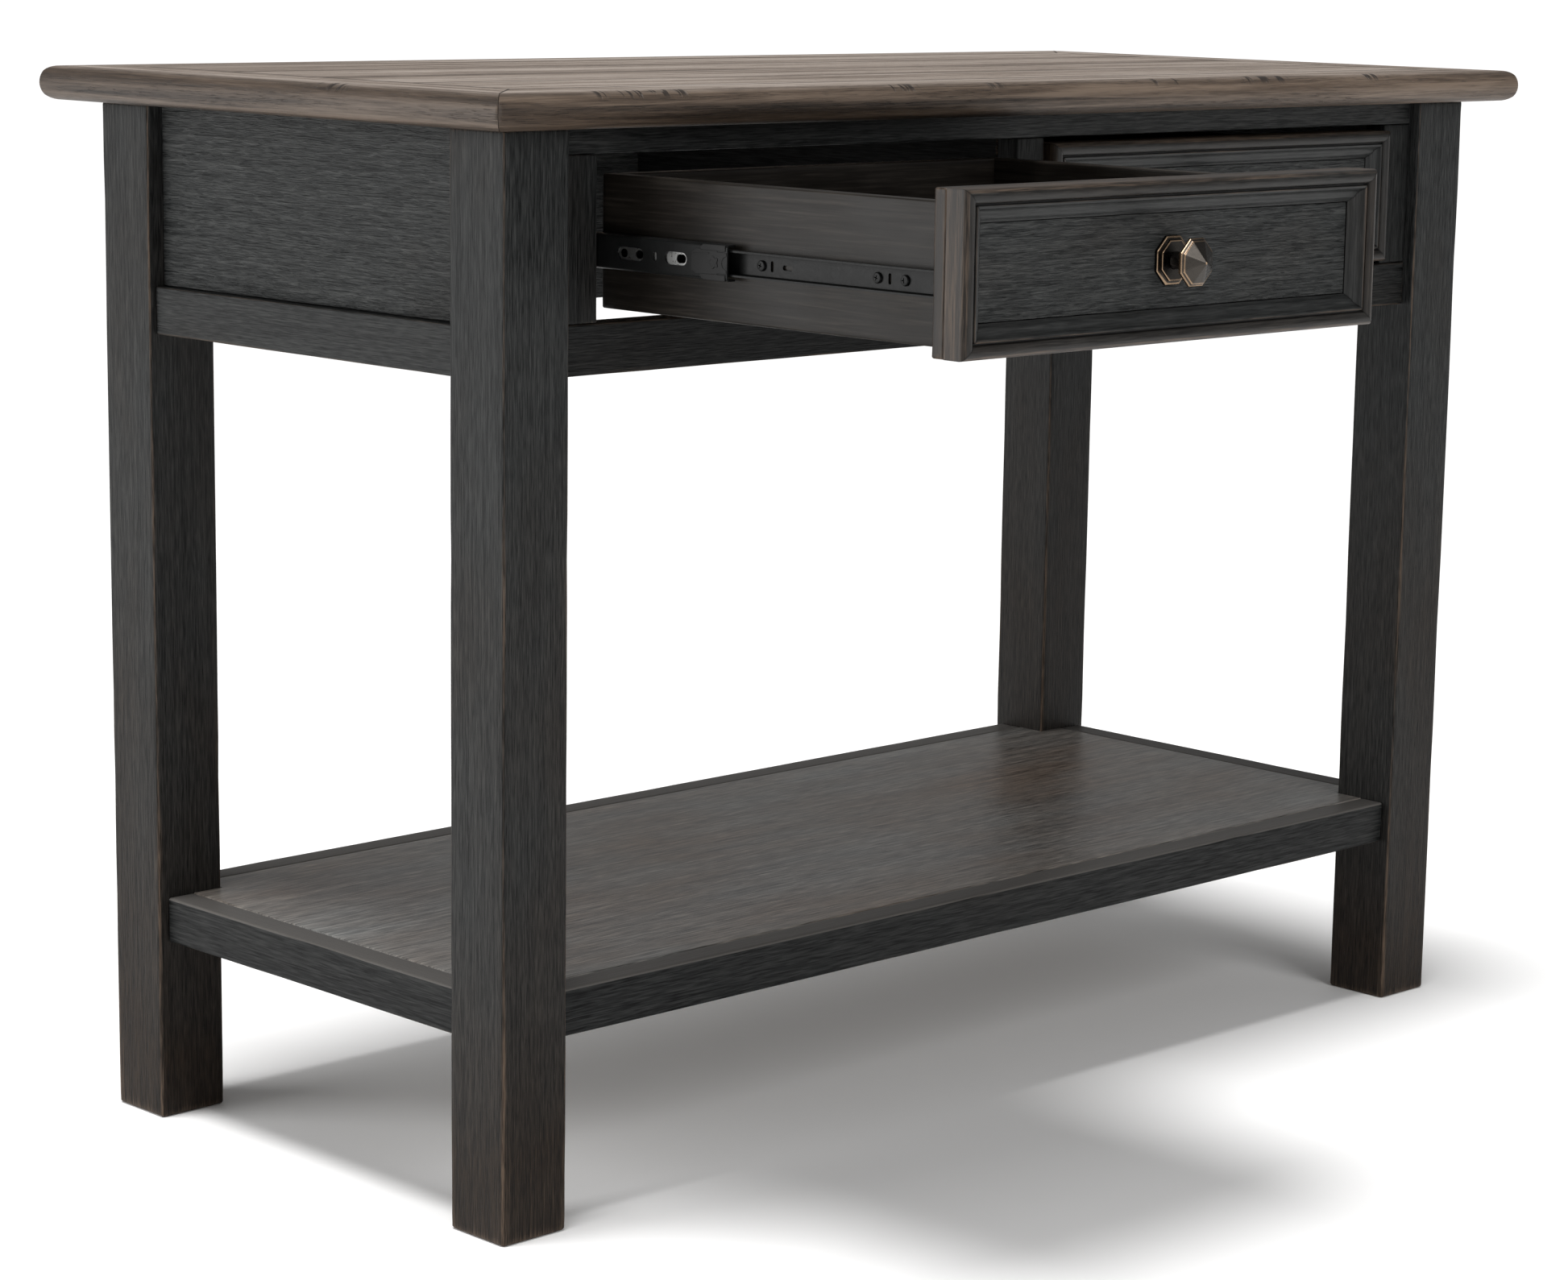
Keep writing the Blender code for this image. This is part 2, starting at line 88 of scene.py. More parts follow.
CRACK_BROWN = (0.040, 0.029, 0.021)
STRUCK_BROWN = (0.012, 0.008, 0.006)
PORE_BROWN = (0.020, 0.013, 0.009)
JOINT_BROWN = (0.016, 0.011, 0.008)
BOX_STAIN = [
    (0.34, (0.0048, 0.0038, 0.0030)),
    (0.50, (0.0105, 0.0088, 0.0072)),
    (0.66, (0.027, 0.023, 0.019)),
]
BOX_BARE = (0.085, 0.066, 0.050)
SLIDE_BLACK = (0.0062, 0.0065, 0.0065)
ZINC = (0.50, 0.50, 0.49)
LATCH_BLACK = (0.007, 0.007, 0.007)
KNOB_BRONZE = (0.050, 0.045, 0.040)
PLATE_BRONZE = (0.028, 0.025, 0.022)
RUBBED_GOLD = (0.25, 0.175, 0.115)
FLOOR_WHITE = (0.95, 0.945, 0.94, 1.0)


# ==================== shader building
class Shader:
    """One material under construction, with short ways to add and wire its nodes."""

    def __init__(self, name):
        self.material = bpy.data.materials.new(name)
        self.material.use_nodes = True
        self.tree = self.material.node_tree
        self.bsdf = self.tree.nodes["Principled BSDF"]

    def wire(self, socket, value):
        if isinstance(value, bpy.types.NodeSocket):
            self.tree.links.new(value, socket)
        else:
            socket.default_value = value

    def set(self, **inputs):
        for name, value in inputs.items():
            self.wire(self.bsdf.inputs[name.replace("_", " ")], value)

    def math(self, operation, first, second):
        node = self.tree.nodes.new("ShaderNodeMath")
        node.operation = operation
        self.wire(node.inputs[0], first)
        self.wire(node.inputs[1], second)
        return node.outputs[0]

    def add(self, first, second):
        return self.math("ADD", first, second)

    def times(self, first, second):
        return self.math("MULTIPLY", first, second)

    def attribute(self, name, output="Fac"):
        node = self.tree.nodes.new("ShaderNodeAttribute")
        node.attribute_name = name
        return node.outputs[output]

    def grain(self, along, across, carried=True):
        """The piece's own grain coordinate, or object space on a node that carries none."""
        if carried:
            source = self.attribute("grain", "Vector")
        else:
            source = self.tree.nodes.new("ShaderNodeTexCoord").outputs["Object"]
        node = self.tree.nodes.new("ShaderNodeVectorMath")
        node.operation = "MULTIPLY"
        self.wire(node.inputs[0], source)
        node.inputs[1].default_value = (along, across, across)
        return node.outputs[0]

    def noise(self, vector, detail=3.0, roughness=0.6, distortion=0.0):
        """Noise whose scale is already in the grain coordinate that it is given."""
        node = self.tree.nodes.new("ShaderNodeTexNoise")
        self.wire(node.inputs["Vector"], vector)
        node.inputs["Scale"].default_value = 1.0
        node.inputs["Detail"].default_value = detail
        node.inputs["Roughness"].default_value = roughness
        node.inputs["Distortion"].default_value = distortion
        return node.outputs["Fac"]

    def ramp(self, value, stops):
        node = self.tree.nodes.new("ShaderNodeValToRGB")
        self.wire(node.inputs["Fac"], value)
        elements = node.color_ramp.elements
        while len(elements) < len(stops):
            elements.new(0.5)
        for element, (position, colour) in zip(elements, stops):
            element.position = position
            element.color = (*colour, 1.0)
        return node.outputs["Color"]

    def remap(self, value, low, high, to_low=0.0, to_high=1.0):
        node = self.tree.nodes.new("ShaderNodeMapRange")
        self.wire(node.inputs["Value"], value)
        node.inputs["From Min"].default_value = low
        node.inputs["From Max"].default_value = high
        node.inputs["To Min"].default_value = to_low
        node.inputs["To Max"].default_value = to_high
        return node.outputs["Result"]

    def mix(self, factor, first, second):
        node = self.tree.nodes.new("ShaderNodeMix")
        node.data_type = "RGBA"
        self.wire(node.inputs[0], factor)
        for socket, value in ((node.inputs[6], first), (node.inputs[7], second)):
            self.wire(socket, (*value, 1.0) if isinstance(value, tuple) else value)
        return node.outputs[2]

    def bump(self, height, distance):
        node = self.tree.nodes.new("ShaderNodeBump")
        node.inputs["Strength"].default_value = 1.0
        node.inputs["Distance"].default_value = distance
        self.wire(node.inputs["Height"], height)
        self.wire(self.bsdf.inputs["Normal"], node.outputs["Normal"])


def brushed_paint(
    name, fibre, broad, depth, wave, roughness, painted_light=1.0, gloss=0.12, even=0.0, short=0.05
):
    """Charcoal paint over wire-brushed wood, rubbed through to brown where it is handled.

    fibre and broad are the scales of the fine and wide lines across the grain, per metre, and
    short is a fibre's scale along the grain as a part of that. depth is the relief, wave bends
    the lines, painted_light makes the paint lighter or darker to paint the light and shade a
    part gets, gloss is its specular level and even flattens it.
    """
    s = Shader(name)
    fine = s.noise(s.grain(fibre * short, fibre), detail=2.0, roughness=0.55, distortion=wave)
    wide = s.noise(s.grain(8.0, broad), detail=4.0, roughness=0.62, distortion=wave)
    cloud = s.noise(s.grain(4.0, 9.0), detail=3.0)
    lines = s.add(s.times(fine, 0.62), s.times(wide, 0.38))
    stops = (0.38 - even, 0.48, 0.64 + even)
    shades = []
    # painted_light scales the paint's colours: painted light and shade, not a different paint.
    for colours in (CHARCOAL, UMBER):
        painted_lit = [tuple(channel * painted_light for channel in colour) for colour in colours]
        shades.append(s.ramp(lines, list(zip(stops, painted_lit))))
    aged = s.remap(s.add(s.attribute("tint"), s.times(cloud, 0.9)), 0.50, 1.10)
    bare = s.ramp(lines, BARE_WOOD)
    uneven = s.add(s.times(wide, 1.1), s.times(cloud, 0.9))
    handled = s.add(s.attribute("wear"), s.times(s.attribute("tint"), 0.45))
    rubbed = s.remap(s.add(handled, uneven), 1.58, 2.10)
    colour = s.mix(rubbed, s.mix(aged, *shades), bare)
    # Faces that look up are paler: partly dust, partly painted sheen like the shelf's.
    colour = s.mix(s.times(s.attribute("dust"), 0.85), colour, PALE_DUST_AND_SHEEN)
    s.set(
        # groove mixes in DEEP_SHADE: painted shade in the moulding's quirk and at its crease by
        # the panel, and dark mitre joints.
        Base_Color=s.mix(s.times(s.attribute("groove"), 0.8), colour, DEEP_SHADE),
        Roughness=s.add(s.times(lines, 0.25), roughness - 0.125),
        Specular_IOR_Level=gloss,
    )
    s.bump(lines, depth)
    return s.material


def weathered_wood(name, edge=False, shade=1.0):
    """Grey-taupe stained planks. A border's rounded edge is browner, with chatter marks."""
    s = Shader(name)
    pores = s.noise(s.grain(40.0, 1300.0), detail=2.0, roughness=0.6, distortion=0.3)
    streak = s.noise(s.grain(4.0, 150.0), detail=4.0, roughness=0.62, distortion=0.6)
    cloud = s.noise(s.grain(1.3, 38.0), detail=3.0, roughness=0.6, distortion=0.8)
    figure = s.add(s.times(streak, 0.45), s.add(s.times(pores, 0.2), s.times(cloud, 0.35)))
    top = s.ramp(figure, TAUPE)
    crack = s.remap(s.noise(s.grain(2.4, 330.0), detail=2.0), 0.63, 0.70)
    top = s.mix(s.times(crack, 0.7), top, CRACK_BROWN)
    # shade below 1 darkens the rounded edge's browns: painted shade, used on the end borders.
    shaded = [(stop, tuple(channel * shade for channel in brown)) for stop, brown in EDGE_BROWN]
    rounded = s.ramp(figure, shaded)
    colour = s.mix(s.attribute("tint"), top, rounded)
    height = s.add(s.times(pores, 0.5), s.times(streak, 0.5))
    if edge:
        marks = s.noise(s.grain(330.0, 40.0), detail=1.0)
        groups = s.noise(s.grain(13.0, 2.0), detail=1.0)
        struck = s.times(s.remap(marks, 0.53, 0.58), s.remap(groups, 0.57, 0.60))
        struck = s.times(struck, s.attribute("wear"))
        colour = s.mix(s.times(struck, 0.9), colour, STRUCK_BROWN)
        height = s.add(height, s.times(struck, -1.6))
    dashes = s.remap(s.noise(s.grain(75.0, 1500.0), detail=1.0, distortion=0.2), 0.60, 0.68)
    dashes = s.times(dashes, s.remap(streak, 0.62, 0.42))
    colour = s.mix(s.times(dashes, 0.75), colour, PORE_BROWN)
    height = s.add(height, s.times(dashes, -0.8))
    joint = s.remap(s.add(s.attribute("groove"), s.times(streak, 0.4)), 0.45, 0.85)
    colour = s.mix(s.times(joint, 0.88), colour, JOINT_BROWN)
    s.set(
        Base_Color=colour,
        Roughness=s.remap(figure, 0.35, 0.65, 0.55, 0.42),
        Specular_IOR_Level=0.3,
    )
    s.bump(height, 0.4 * MM)
    return s.material


def stained_box():
    """Dark brown-black stain on the drawer boxes, smooth and a little shiny."""
    s = Shader("stained_box")
    streak = s.noise(s.grain(14.0, 420.0), detail=4.0, roughness=0.62, distortion=0.4)
    cloud = s.noise(s.grain(7.0, 22.0), detail=4.0)
    colour = s.ramp(s.add(s.times(streak, 0.6), s.times(cloud, 0.4)), BOX_STAIN)
    bare = s.remap(s.add(s.attribute("wear"), streak), 1.20, 1.55)
    colour = s.mix(s.times(bare, 0.5), colour, BOX_BARE)
    s.set(
        Base_Color=colour,
        Roughness=s.remap(cloud, 0.35, 0.65, 0.32, 0.44),
        Specular_IOR_Level=0.14,
    )
    s.bump(streak, 0.10 * MM)
    return s.material


def metal(name, colour, roughness, metallic, mottle=0.10, carried=True, edge=None, gloss=0.5):
    """A metal or hard coating with a fine mottle, and bright edges where it is rubbed."""
    s = Shader(name)
    spots = s.noise(s.grain(420.0, 420.0, carried), detail=3.0)
    cloud = s.noise(s.grain(90.0, 90.0, carried), detail=2.0)
    deeper = tuple(channel * (1.0 - 3.0 * mottle) for channel in colour)
    shade = s.mix(s.remap(cloud, 0.35, 0.65), deeper, colour)
    if edge:
        bright = s.remap(s.add(s.attribute("wear"), s.times(cloud, 0.6)), 0.75, 1.10)
        shade = s.mix(bright, shade, edge)
    s.set(
        Base_Color=shade,
        Metallic=metallic,
        Roughness=s.add(s.times(spots, 2.0 * mottle), roughness - mottle),
        Specular_IOR_Level=gloss,
    )
    s.bump(spots, 0.03 * MM)
    return s.material


# The paint looks are copies of one charcoal paint at different painted_light: painted light and
# shade.
LOOKS = {
    "paint": brushed_paint(
        "brushed_paint",
        fibre=1200.0,
        broad=520.0,
        depth=0.6 * MM,
        wave=0.35,
        roughness=0.48,
        even=0.01,
    ),
    # Lighter copy for the end, back and drawer front panels: painted light.
    "paint_coarse": brushed_paint(
        "brushed_paint_coarse",
        fibre=820.0,
        broad=420.0,
        depth=1.9 * MM,
        wave=1.1,
        roughness=0.46,
        painted_light=1.42,
        even=0.03,
        short=0.07,
    ),
    "paint_smooth": brushed_paint(
        "smooth_paint",
        fibre=1100.0,
        broad=260.0,
        depth=0.08 * MM,
        wave=0.3,
        roughness=0.38,
        painted_light=0.95,
        gloss=0.20,
        even=0.10,
    ),
    # Ten times lighter copy for the shelf board: painted sheen, the bright floor's reflection
    # painted in.
    "paint_shelf": brushed_paint(
        "brushed_paint_shelf",
        fibre=1000.0,
        broad=320.0,
        depth=0.25 * MM,
        wave=0.4,
        roughness=0.34,
        painted_light=10.0,
        gloss=0.42,
        even=0.05,
    ),
    # Darker copy for the shelf's edge strips: painted shade.
    "paint_strip": brushed_paint(
        "brushed_paint_strip",
        fibre=900.0,
        broad=400.0,
        depth=0.3 * MM,
        wave=0.4,
        roughness=0.42,
        painted_light=0.75,
        gloss=0.08,
    ),
    # Darker copy for the stiles and lower rail: painted shadow of the open drawer.
    "paint_shaded": brushed_paint(
        "brushed_paint_shaded",
        fibre=1200.0,
        broad=520.0,
        depth=0.5 * MM,
        wave=0.35,
        roughness=0.52,
        painted_light=0.55,
        gloss=0.08,
    ),
    # Much darker copy for the runner blocks and divider inside the case: painted shade.
    "paint_inside": brushed_paint(
        "brushed_paint_inside",
        fibre=900.0,
        broad=300.0,
        depth=0.2 * MM,
        wave=0.4,
        roughness=0.6,
        painted_light=0.3,
        gloss=0.05,
    ),
    "top": weathered_wood("weathered_planks"),
    "top_edge": weathered_wood("weathered_border", edge=True),
    # The end borders are a darker copy: painted shade on their rounded edges.
    "top_end": weathered_wood("weathered_end_border", edge=True, shade=0.72),
    "box": stained_box(),
    "steel": metal("black_slide_steel", SLIDE_BLACK, roughness=0.36, metallic=0.0, gloss=0.12),
    "cad_steel": metal(
        "fixed_slide_steel",
        SLIDE_BLACK,
        roughness=0.36,
        metallic=0.0,
        carried=False,
        gloss=0.12,
    ),
    "zinc": metal("zinc_retainer", ZINC, roughness=0.30, metallic=1.0),
    "plastic": metal(
        "black_latch_plastic",
        LATCH_BLACK,
        roughness=0.45,
        metallic=0.0,
        mottle=0.05,
        gloss=0.15,
    ),
    "bronze": metal(
        "rubbed_bronze",
        KNOB_BRONZE,
        roughness=0.28,
        metallic=1.0,
        mottle=0.06,
        edge=RUBBED_GOLD,
    ),
    "bronze_plate": metal(
        "dark_bronze",
        PLATE_BRONZE,
        roughness=0.26,
        metallic=1.0,
        mottle=0.06,
        edge=RUBBED_GOLD,
    ),
}


# ==================== mesh building
class Surface:
    """Points, faces and the values each point carries, gathered for one piece.

    wear is how much an edge is rubbed, tint turns the colour to brown, groove darkens a joint
    and, on painted pieces, paints shade into a recess, and dust makes a face that
    looks up paler, partly dust and partly painted sheen.
    """

    FLOATS = ("wear", "tint", "groove", "dust")

    def __init__(self):
        self.points = []
        self.faces = []
        self.grain = []
        self.values = {name: [] for name in self.FLOATS}

    def point(self, place, grain, **values):
        self.points.append(tuple(place))
        self.grain.append(tuple(grain))
        for name in self.FLOATS:
            self.values[name].append(values.get(name, 0.0))
        return len(self.points) - 1

    def stand_in(self, node, look, angle=32.0):
        """Makes the finer piece that takes the place of a CAD node."""
        name = f"fine_{node}"
        mesh = bpy.data.meshes.new(name)
        mesh.from_pydata(self.points, [], self.faces)
        grain = mesh.attributes.new("grain", "FLOAT_VECTOR", "POINT")
        grain.data.foreach_set("vector", [value for vector in self.grain for value in vector])
        for key, numbers in self.values.items():
            mesh.attributes.new(key, "FLOAT", "POINT").data.foreach_set("value", numbers)
        add_piece(name, mesh, look, BODY_OF[node], (node,), angle)


def scene_object(name, data):
    """Puts a new object into the scene."""
    obj = bpy.data.objects.new(name, data)
    bpy.context.scene.collection.objects.link(obj)
    return obj


def add_piece(name, mesh, look, body, nodes=(), angle=30.0):
    """Adds a mesh that rides on a body. Faces that meet at more than the angle stay sharp."""
    bm = bmesh.new()
    bm.from_mesh(mesh)
    bmesh.ops.recalc_face_normals(bm, faces=bm.faces)
    bm.to_mesh(mesh)
    bm.free()
    mesh.materials.append(LOOKS[look])
    mesh.shade_smooth()
    mesh.set_sharp_from_angle(angle=math.radians(angle))
    obj = scene_object(name, mesh)
    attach(obj, body)
    if nodes:
        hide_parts(*nodes)
    return obj


def mesh_of(bm, name):
    """Turns a bmesh into a mesh whose faces point out, and frees the bmesh."""
    bmesh.ops.recalc_face_normals(bm, faces=bm.faces)
    mesh = bpy.data.meshes.new(name)
    bm.to_mesh(mesh)
    bm.free()
    return mesh


def quads_between(rings):
    """Four-sided faces that join each ring of corners to the next ring."""
    faces = []
    size = len(rings[0])
    for first, second in zip(rings, rings[1:]):
        for index in range(size):
            after = (index + 1) % size
            faces.append((first[index], first[after], second[after], second[index]))
    return faces


def grain_of(place, axis, shift):
    """Distance along the grain, then the two distances across it, moved by the piece's shift."""
    others = [index for index in (X, Y, Z) if index != axis]
    return (place[axis] + shift[0], place[others[0]] + shift[1], place[others[1]] + shift[2])


def shift_of(name):
    """Where a piece's grain starts: always the same for the same name."""
    draw = random.Random(name)
    return [draw.uniform(1.0, 9.0) for _ in range(3)]


def stations(low, high, radius, pitch, extra):
    """Places for mesh rows from low to high: close together at the edges, then even."""
    near = [part * radius for part in ROUNDED_ROWS] + [radius + step for step in FLAT_ROWS]
    near = [step for step in near if step < (high - low) / 2 - LEAST_ROW_GAP]
    start, end = low + near[-1], high - near[-1]
    count = max(1, round((end - start) / pitch))
    rows = [low + step for step in near] + [high - step for step in near]
    rows += [start + (end - start) * index / count for index in range(1, count)]
    rows += list(extra)
    rows.sort()
    kept = rows[:1]
    for before, row in zip(rows, rows[1:]):
        if row - before > SAME_ROW:
            kept.append(row)
    return kept


def fine_board(
    node,
    axis,
    look,
    radius=1.2 * MM,
    dent=0.35 * MM,
    pitch=0.03,
    wear=1.0,
    tint=lambda place: 0.0,
    dust=0.0,
    grooved=False,
    extra=((), (), ()),
    removed=lambda middle: False,
):
    """A board in a node's box: rounded edges that are worn uneven, and grain along an axis.

    A grooved board's edges are dark joints, not worn ones. extra holds more rows to put along
    X, Y and Z, and removed says which cells between the rows are left out.
    """
    low, high = (Vector(corner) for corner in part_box(node))
    shift = shift_of(node)
    rows = [stations(low[k], high[k], radius, pitch, extra[k]) for k in (X, Y, Z)]
    core_low = low + Vector((radius,) * 3)
    core_high = high - Vector((radius,) * 3)
    surface = Surface()
    found = {}

    def corner(index):
        if index in found:
            return found[index]
        place = Vector(rows[k][index[k]] for k in (X, Y, Z))
        core = Vector(min(max(place[k], core_low[k]), core_high[k]) for k in (X, Y, Z))
        depths = sorted(min(place[k] - low[k], high[k] - place[k]) for k in (X, Y, Z))
        rub = math.exp(-depths[1] / (WEAR_FADE + 0.3 * radius))
        away = place - core
        if away.length > 0.0:
            bite = max(0.0, wobble(place, shift)) * dent * rub
            place = core + away.normalized() * (radius - min(bite, 0.8 * radius))
        found[index] = surface.point(
            place,
            grain_of(place, axis, shift),
            wear=0.0 if grooved else rub * wear,
            groove=rub if grooved else 0.0,
            tint=tint(place),
            dust=dust if place.z > high.z - 0.7 * radius else 0.0,
        )
        return found[index]

    counts = [len(rows[k]) - 1 for k in (X, Y, Z)]
    kept = set()
    for i in range(counts[X]):
        for j in range(counts[Y]):
            for k in range(counts[Z]):
                cell = (i, j, k)
                middle = [(rows[n][cell[n]] + rows[n][cell[n] + 1]) / 2 for n in (X, Y, Z)]
                if not removed(middle):
                    kept.add(cell)
    for cell in kept:
        for k in (X, Y, Z):
            for step in (0, 1):
                beside = list(cell)
                beside[k] += 2 * step - 1
                if tuple(beside) in kept:
                    continue
                a, b = [n for n in (X, Y, Z) if n != k]
                face = []
                for da, db in ((0, 0), (1, 0), (1, 1), (0, 1)):
                    index = list(cell)
                    index[k] += step
                    index[a] += da
                    index[b] += db
                    face.append(corner(tuple(index)))
                surface.faces.append(face)
    surface.stand_in(node, look)


def wobble(place, shift):
    """A slow wave with sharper dips, from -1 to 1, for edges worn by hand."""
    run = sum(place[k] + shift[k] for k in (X, Y, Z))
    slow = math.sin(run * 31.0) * math.sin(run * 13.7 + 1.3)
    quick = math.sin(run * 167.0 + 2.0 * slow)
    return 0.55 * slow + 0.45 * quick


def round_corner(along, inward, half, radius):
    """Moves a mitred strip's point so that the strip's outer corner is round in plan."""
    if inward >= radius or half - abs(along) >= radius:
        return along, inward
    out = Vector((abs(along) - half + radius, inward - radius))
    out *= (radius - inward) / out.length
    return math.copysign(half - radius + out.x, along), radius + out.y


def swept_strip(surface, profile, half, gap, place, shift, pitch=0.02, corner=0.0):
    """Runs a closed profile along a mitred strip and adds it to the surface.

    profile holds (inward, height, values) points, and place turns (along, inward, height)
    into a point in space. Both ends are cut at 45 degrees and closed.
    """
    count = max(4, round(2 * half / pitch))
    middle = half - MITRE_STEPS[-1]
    runs = [-half] + [-half + step for step in MITRE_STEPS]
    runs += [-middle + 2 * middle * index / count for index in range(1, count)]
    runs += [half - step for step in reversed(MITRE_STEPS)] + [half]
    rings = []
    for run in runs:
        ring = []
        for inward, height, values in profile:
            along = run / half * (half - inward - gap)
            carried = dict(values)
            if abs(run) > half - MITRE_SHADE:
                carried["groove"] = max(0.4, 1.0 - values.get("tint", 0.0))
            grain = (along + shift[0], inward + shift[1], height + shift[2])
            spot = round_corner(along, inward, half, corner) if corner else (along, inward)
            ring.append(surface.point(place(*spot, height), grain, **carried))
        rings.append(ring)
    surface.faces += quads_between(rings)
    surface.faces.append(tuple(reversed(rings[0])))
    surface.faces.append(tuple(rings[-1]))


# ==================== table top
BORDER_JOINT = 1.2 * MM
BORDER_JOINT_FADE = 3.5 * MM
BORDER_CORNER = 3.5 * MM
BORDER_MITRE_GAP = 0.25 * MM
# How far behind the bullnose the border turns brown, above and below.
BROWN_START, BROWN_RUB, BROWN_UNDER = 9 * MM, 3 * MM, 8 * MM
NOSE_STEPS = 20
UPPER_NOSE_POWER = 0.86
# The rubbed crease on the upper bullnose: its angle, and how fast it fades.
CREASE_ANGLE, CREASE_FADE = 0.36 * math.pi, 0.35


def border_profile(width, thickness):
    """A flat top and underside joined by a full bullnose, which is tinted brown."""
    radius = thickness / 2
    points = [
        (width, 0.0, {}),
        (width, thickness - BORDER_JOINT, {"groove": 1.0}),
        (width - BORDER_JOINT, thickness, {"groove": 0.9}),
        (width - BORDER_JOINT_FADE, thickness, {}),
        (width * 0.6, thickness, {}),
        (radius + BROWN_START, thickness, {"tint": 0.0}),
        (radius + BROWN_RUB, thickness, {"tint": 0.12, "wear": 0.35}),
    ]
    for step in range(NOSE_STEPS + 1):
        angle = math.pi * (0.5 - step / NOSE_STEPS)
        power = 1.0 if angle < 0 else UPPER_NOSE_POWER
        inward = radius - radius * abs(math.cos(angle)) ** power
        height = radius + radius * math.sin(angle)
        crease = min(1.0, max(0.0, 1.6 - abs(angle - CREASE_ANGLE) / CREASE_FADE))
        tint = min(1.0, 0.35 + 3.2 * step / NOSE_STEPS)
        points.append((inward, height, {"tint": tint, "wear": crease}))
    points.append((radius + BROWN_UNDER, 0.0, {"tint": 0.6}))
    return points


def build_top():
    """The four mitred borders, swept round the top, and the planks between them."""
    low, high = (Vector(corner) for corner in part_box("top_front_border"))
    thickness = high.z - low.z
    left, right = low.x, high.x
    front = low.y
    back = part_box("top_back_border")[1][Y]
    width = high.y - low.y
    profile = border_profile(width, thickness)
    middle = Vector(((left + right) / 2, (front + back) / 2, low.z))
    half_x = (right - left) / 2
    half_y = (back - front) / 2
    sides = (
        ("front", 0.0, half_x, half_y),
        ("right", math.pi / 2, half_y, half_x),
        ("back", math.pi, half_x, half_y),
        ("left", -math.pi / 2, half_y, half_x),
    )
    for label, turn, half, reach in sides:
        node = f"top_{label}_border"
        spin = Matrix.Rotation(turn, 3, "Z")

        def place(along, inward, height, spin=spin, reach=reach):
            return middle + spin @ Vector((along, inward - reach, height))

        surface = Surface()
        shift = shift_of(node)
        swept_strip(surface, profile, half, BORDER_MITRE_GAP, place, shift, corner=BORDER_CORNER)
        look = "top_end" if label in ("left", "right") else "top_edge"
        surface.stand_in(node, look, angle=50.0)
    for node in sorted(frame["nodes"]):
        if node.startswith("top_plank"):
            fine_board(node, X, "top", radius=1.4 * MM, dent=0.1 * MM, pitch=0.05, grooved=True)


# ==================== legs, case and shelf
FOOT_RUB_AND_SHADE, FOOT_FADE = 0.95, 0.085
MIDDLE_RUB, MIDDLE_HEIGHT, MIDDLE_FADE = 0.30, 0.30, 0.20
SHELF_CLEARANCE = 0.3 * MM


def leg_tint(place):
    """Paint is browner on a leg near the floor, and a little browner 0.3 m above it."""
    # Near the floor the tint is partly a brown rub and partly painted shade: its umber paint is
    # darker.
    foot = FOOT_RUB_AND_SHADE * math.exp(-place.z / FOOT_FADE)
    return foot + MIDDLE_RUB * math.exp(-abs(place.z - MIDDLE_HEIGHT) / MIDDLE_FADE)


def build_case():
    """The legs, and the panels, rails, stiles and blocks between them."""
    for node in sorted(frame["nodes"]):
        if node.endswith("_leg"):
            fine_board(node, Z, "paint", radius=2.6 * MM, dent=0.7 * MM, tint=leg_tint, wear=0.95)
    # The stiles and lower rail take paint_shaded, painted shadow of the open drawer; the runner
    # blocks and divider take paint_inside, painted shade.
    for side in ("left", "right"):
        fine_board(f"{side}_end_panel", Y, "paint_coarse", wear=0.3)
        fine_board(f"{side}_end_rail", Y, "paint", radius=1.6 * MM, wear=0.8)
        fine_board(f"{side}_stile", Z, "paint_shaded", wear=0.5)
        fine_board(f"{side}_runner_block", Y, "paint_inside")
    fine_board("centre_stile", Z, "paint_shaded", wear=0.5)
    fine_board("front_lower_rail", X, "paint_shaded", radius=1.6 * MM, wear=0.8)
    fine_board("front_top_rail", X, "paint", wear=0.5)
    fine_board("back_panel", X, "paint_coarse", wear=0.4)
    fine_board("centre_divider", Y, "paint_inside")


def build_shelf():
    """The shelf board, cut away round the legs, and its four edge strips."""
    near_leg = Vector(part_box("front_left_leg")[1])
    far_leg = Vector(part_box("back_right_leg")[0])
    near_x, near_y = near_leg.x + SHELF_CLEARANCE, near_leg.y + SHELF_CLEARANCE
    far_x, far_y = far_leg.x - SHELF_CLEARANCE, far_leg.y - SHELF_CLEARANCE

    def under_leg(middle):
        return not (near_x < middle[X] < far_x or near_y < middle[Y] < far_y)

    # The shelf board takes the much lighter paint: painted sheen.
    fine_board(
        "shelf_board",
        X,
        "paint_shelf",
        radius=1.5 * MM,
        dent=0.1 * MM,
        wear=0.15,
        tint=lambda place: 0.30,
        pitch=0.04,
        extra=((near_x, far_x), (near_y, far_y), ()),
        removed=under_leg,
    )
    for label, axis in (("front", X), ("back", X), ("left", Y), ("right", Y)):
        node = f"shelf_{label}_edge"
        # The strips' tops are paler: partly dust, partly painted sheen like the shelf's.
        fine_board(node, axis, "paint_strip", radius=1.8 * MM, wear=0.75, dust=1.0)


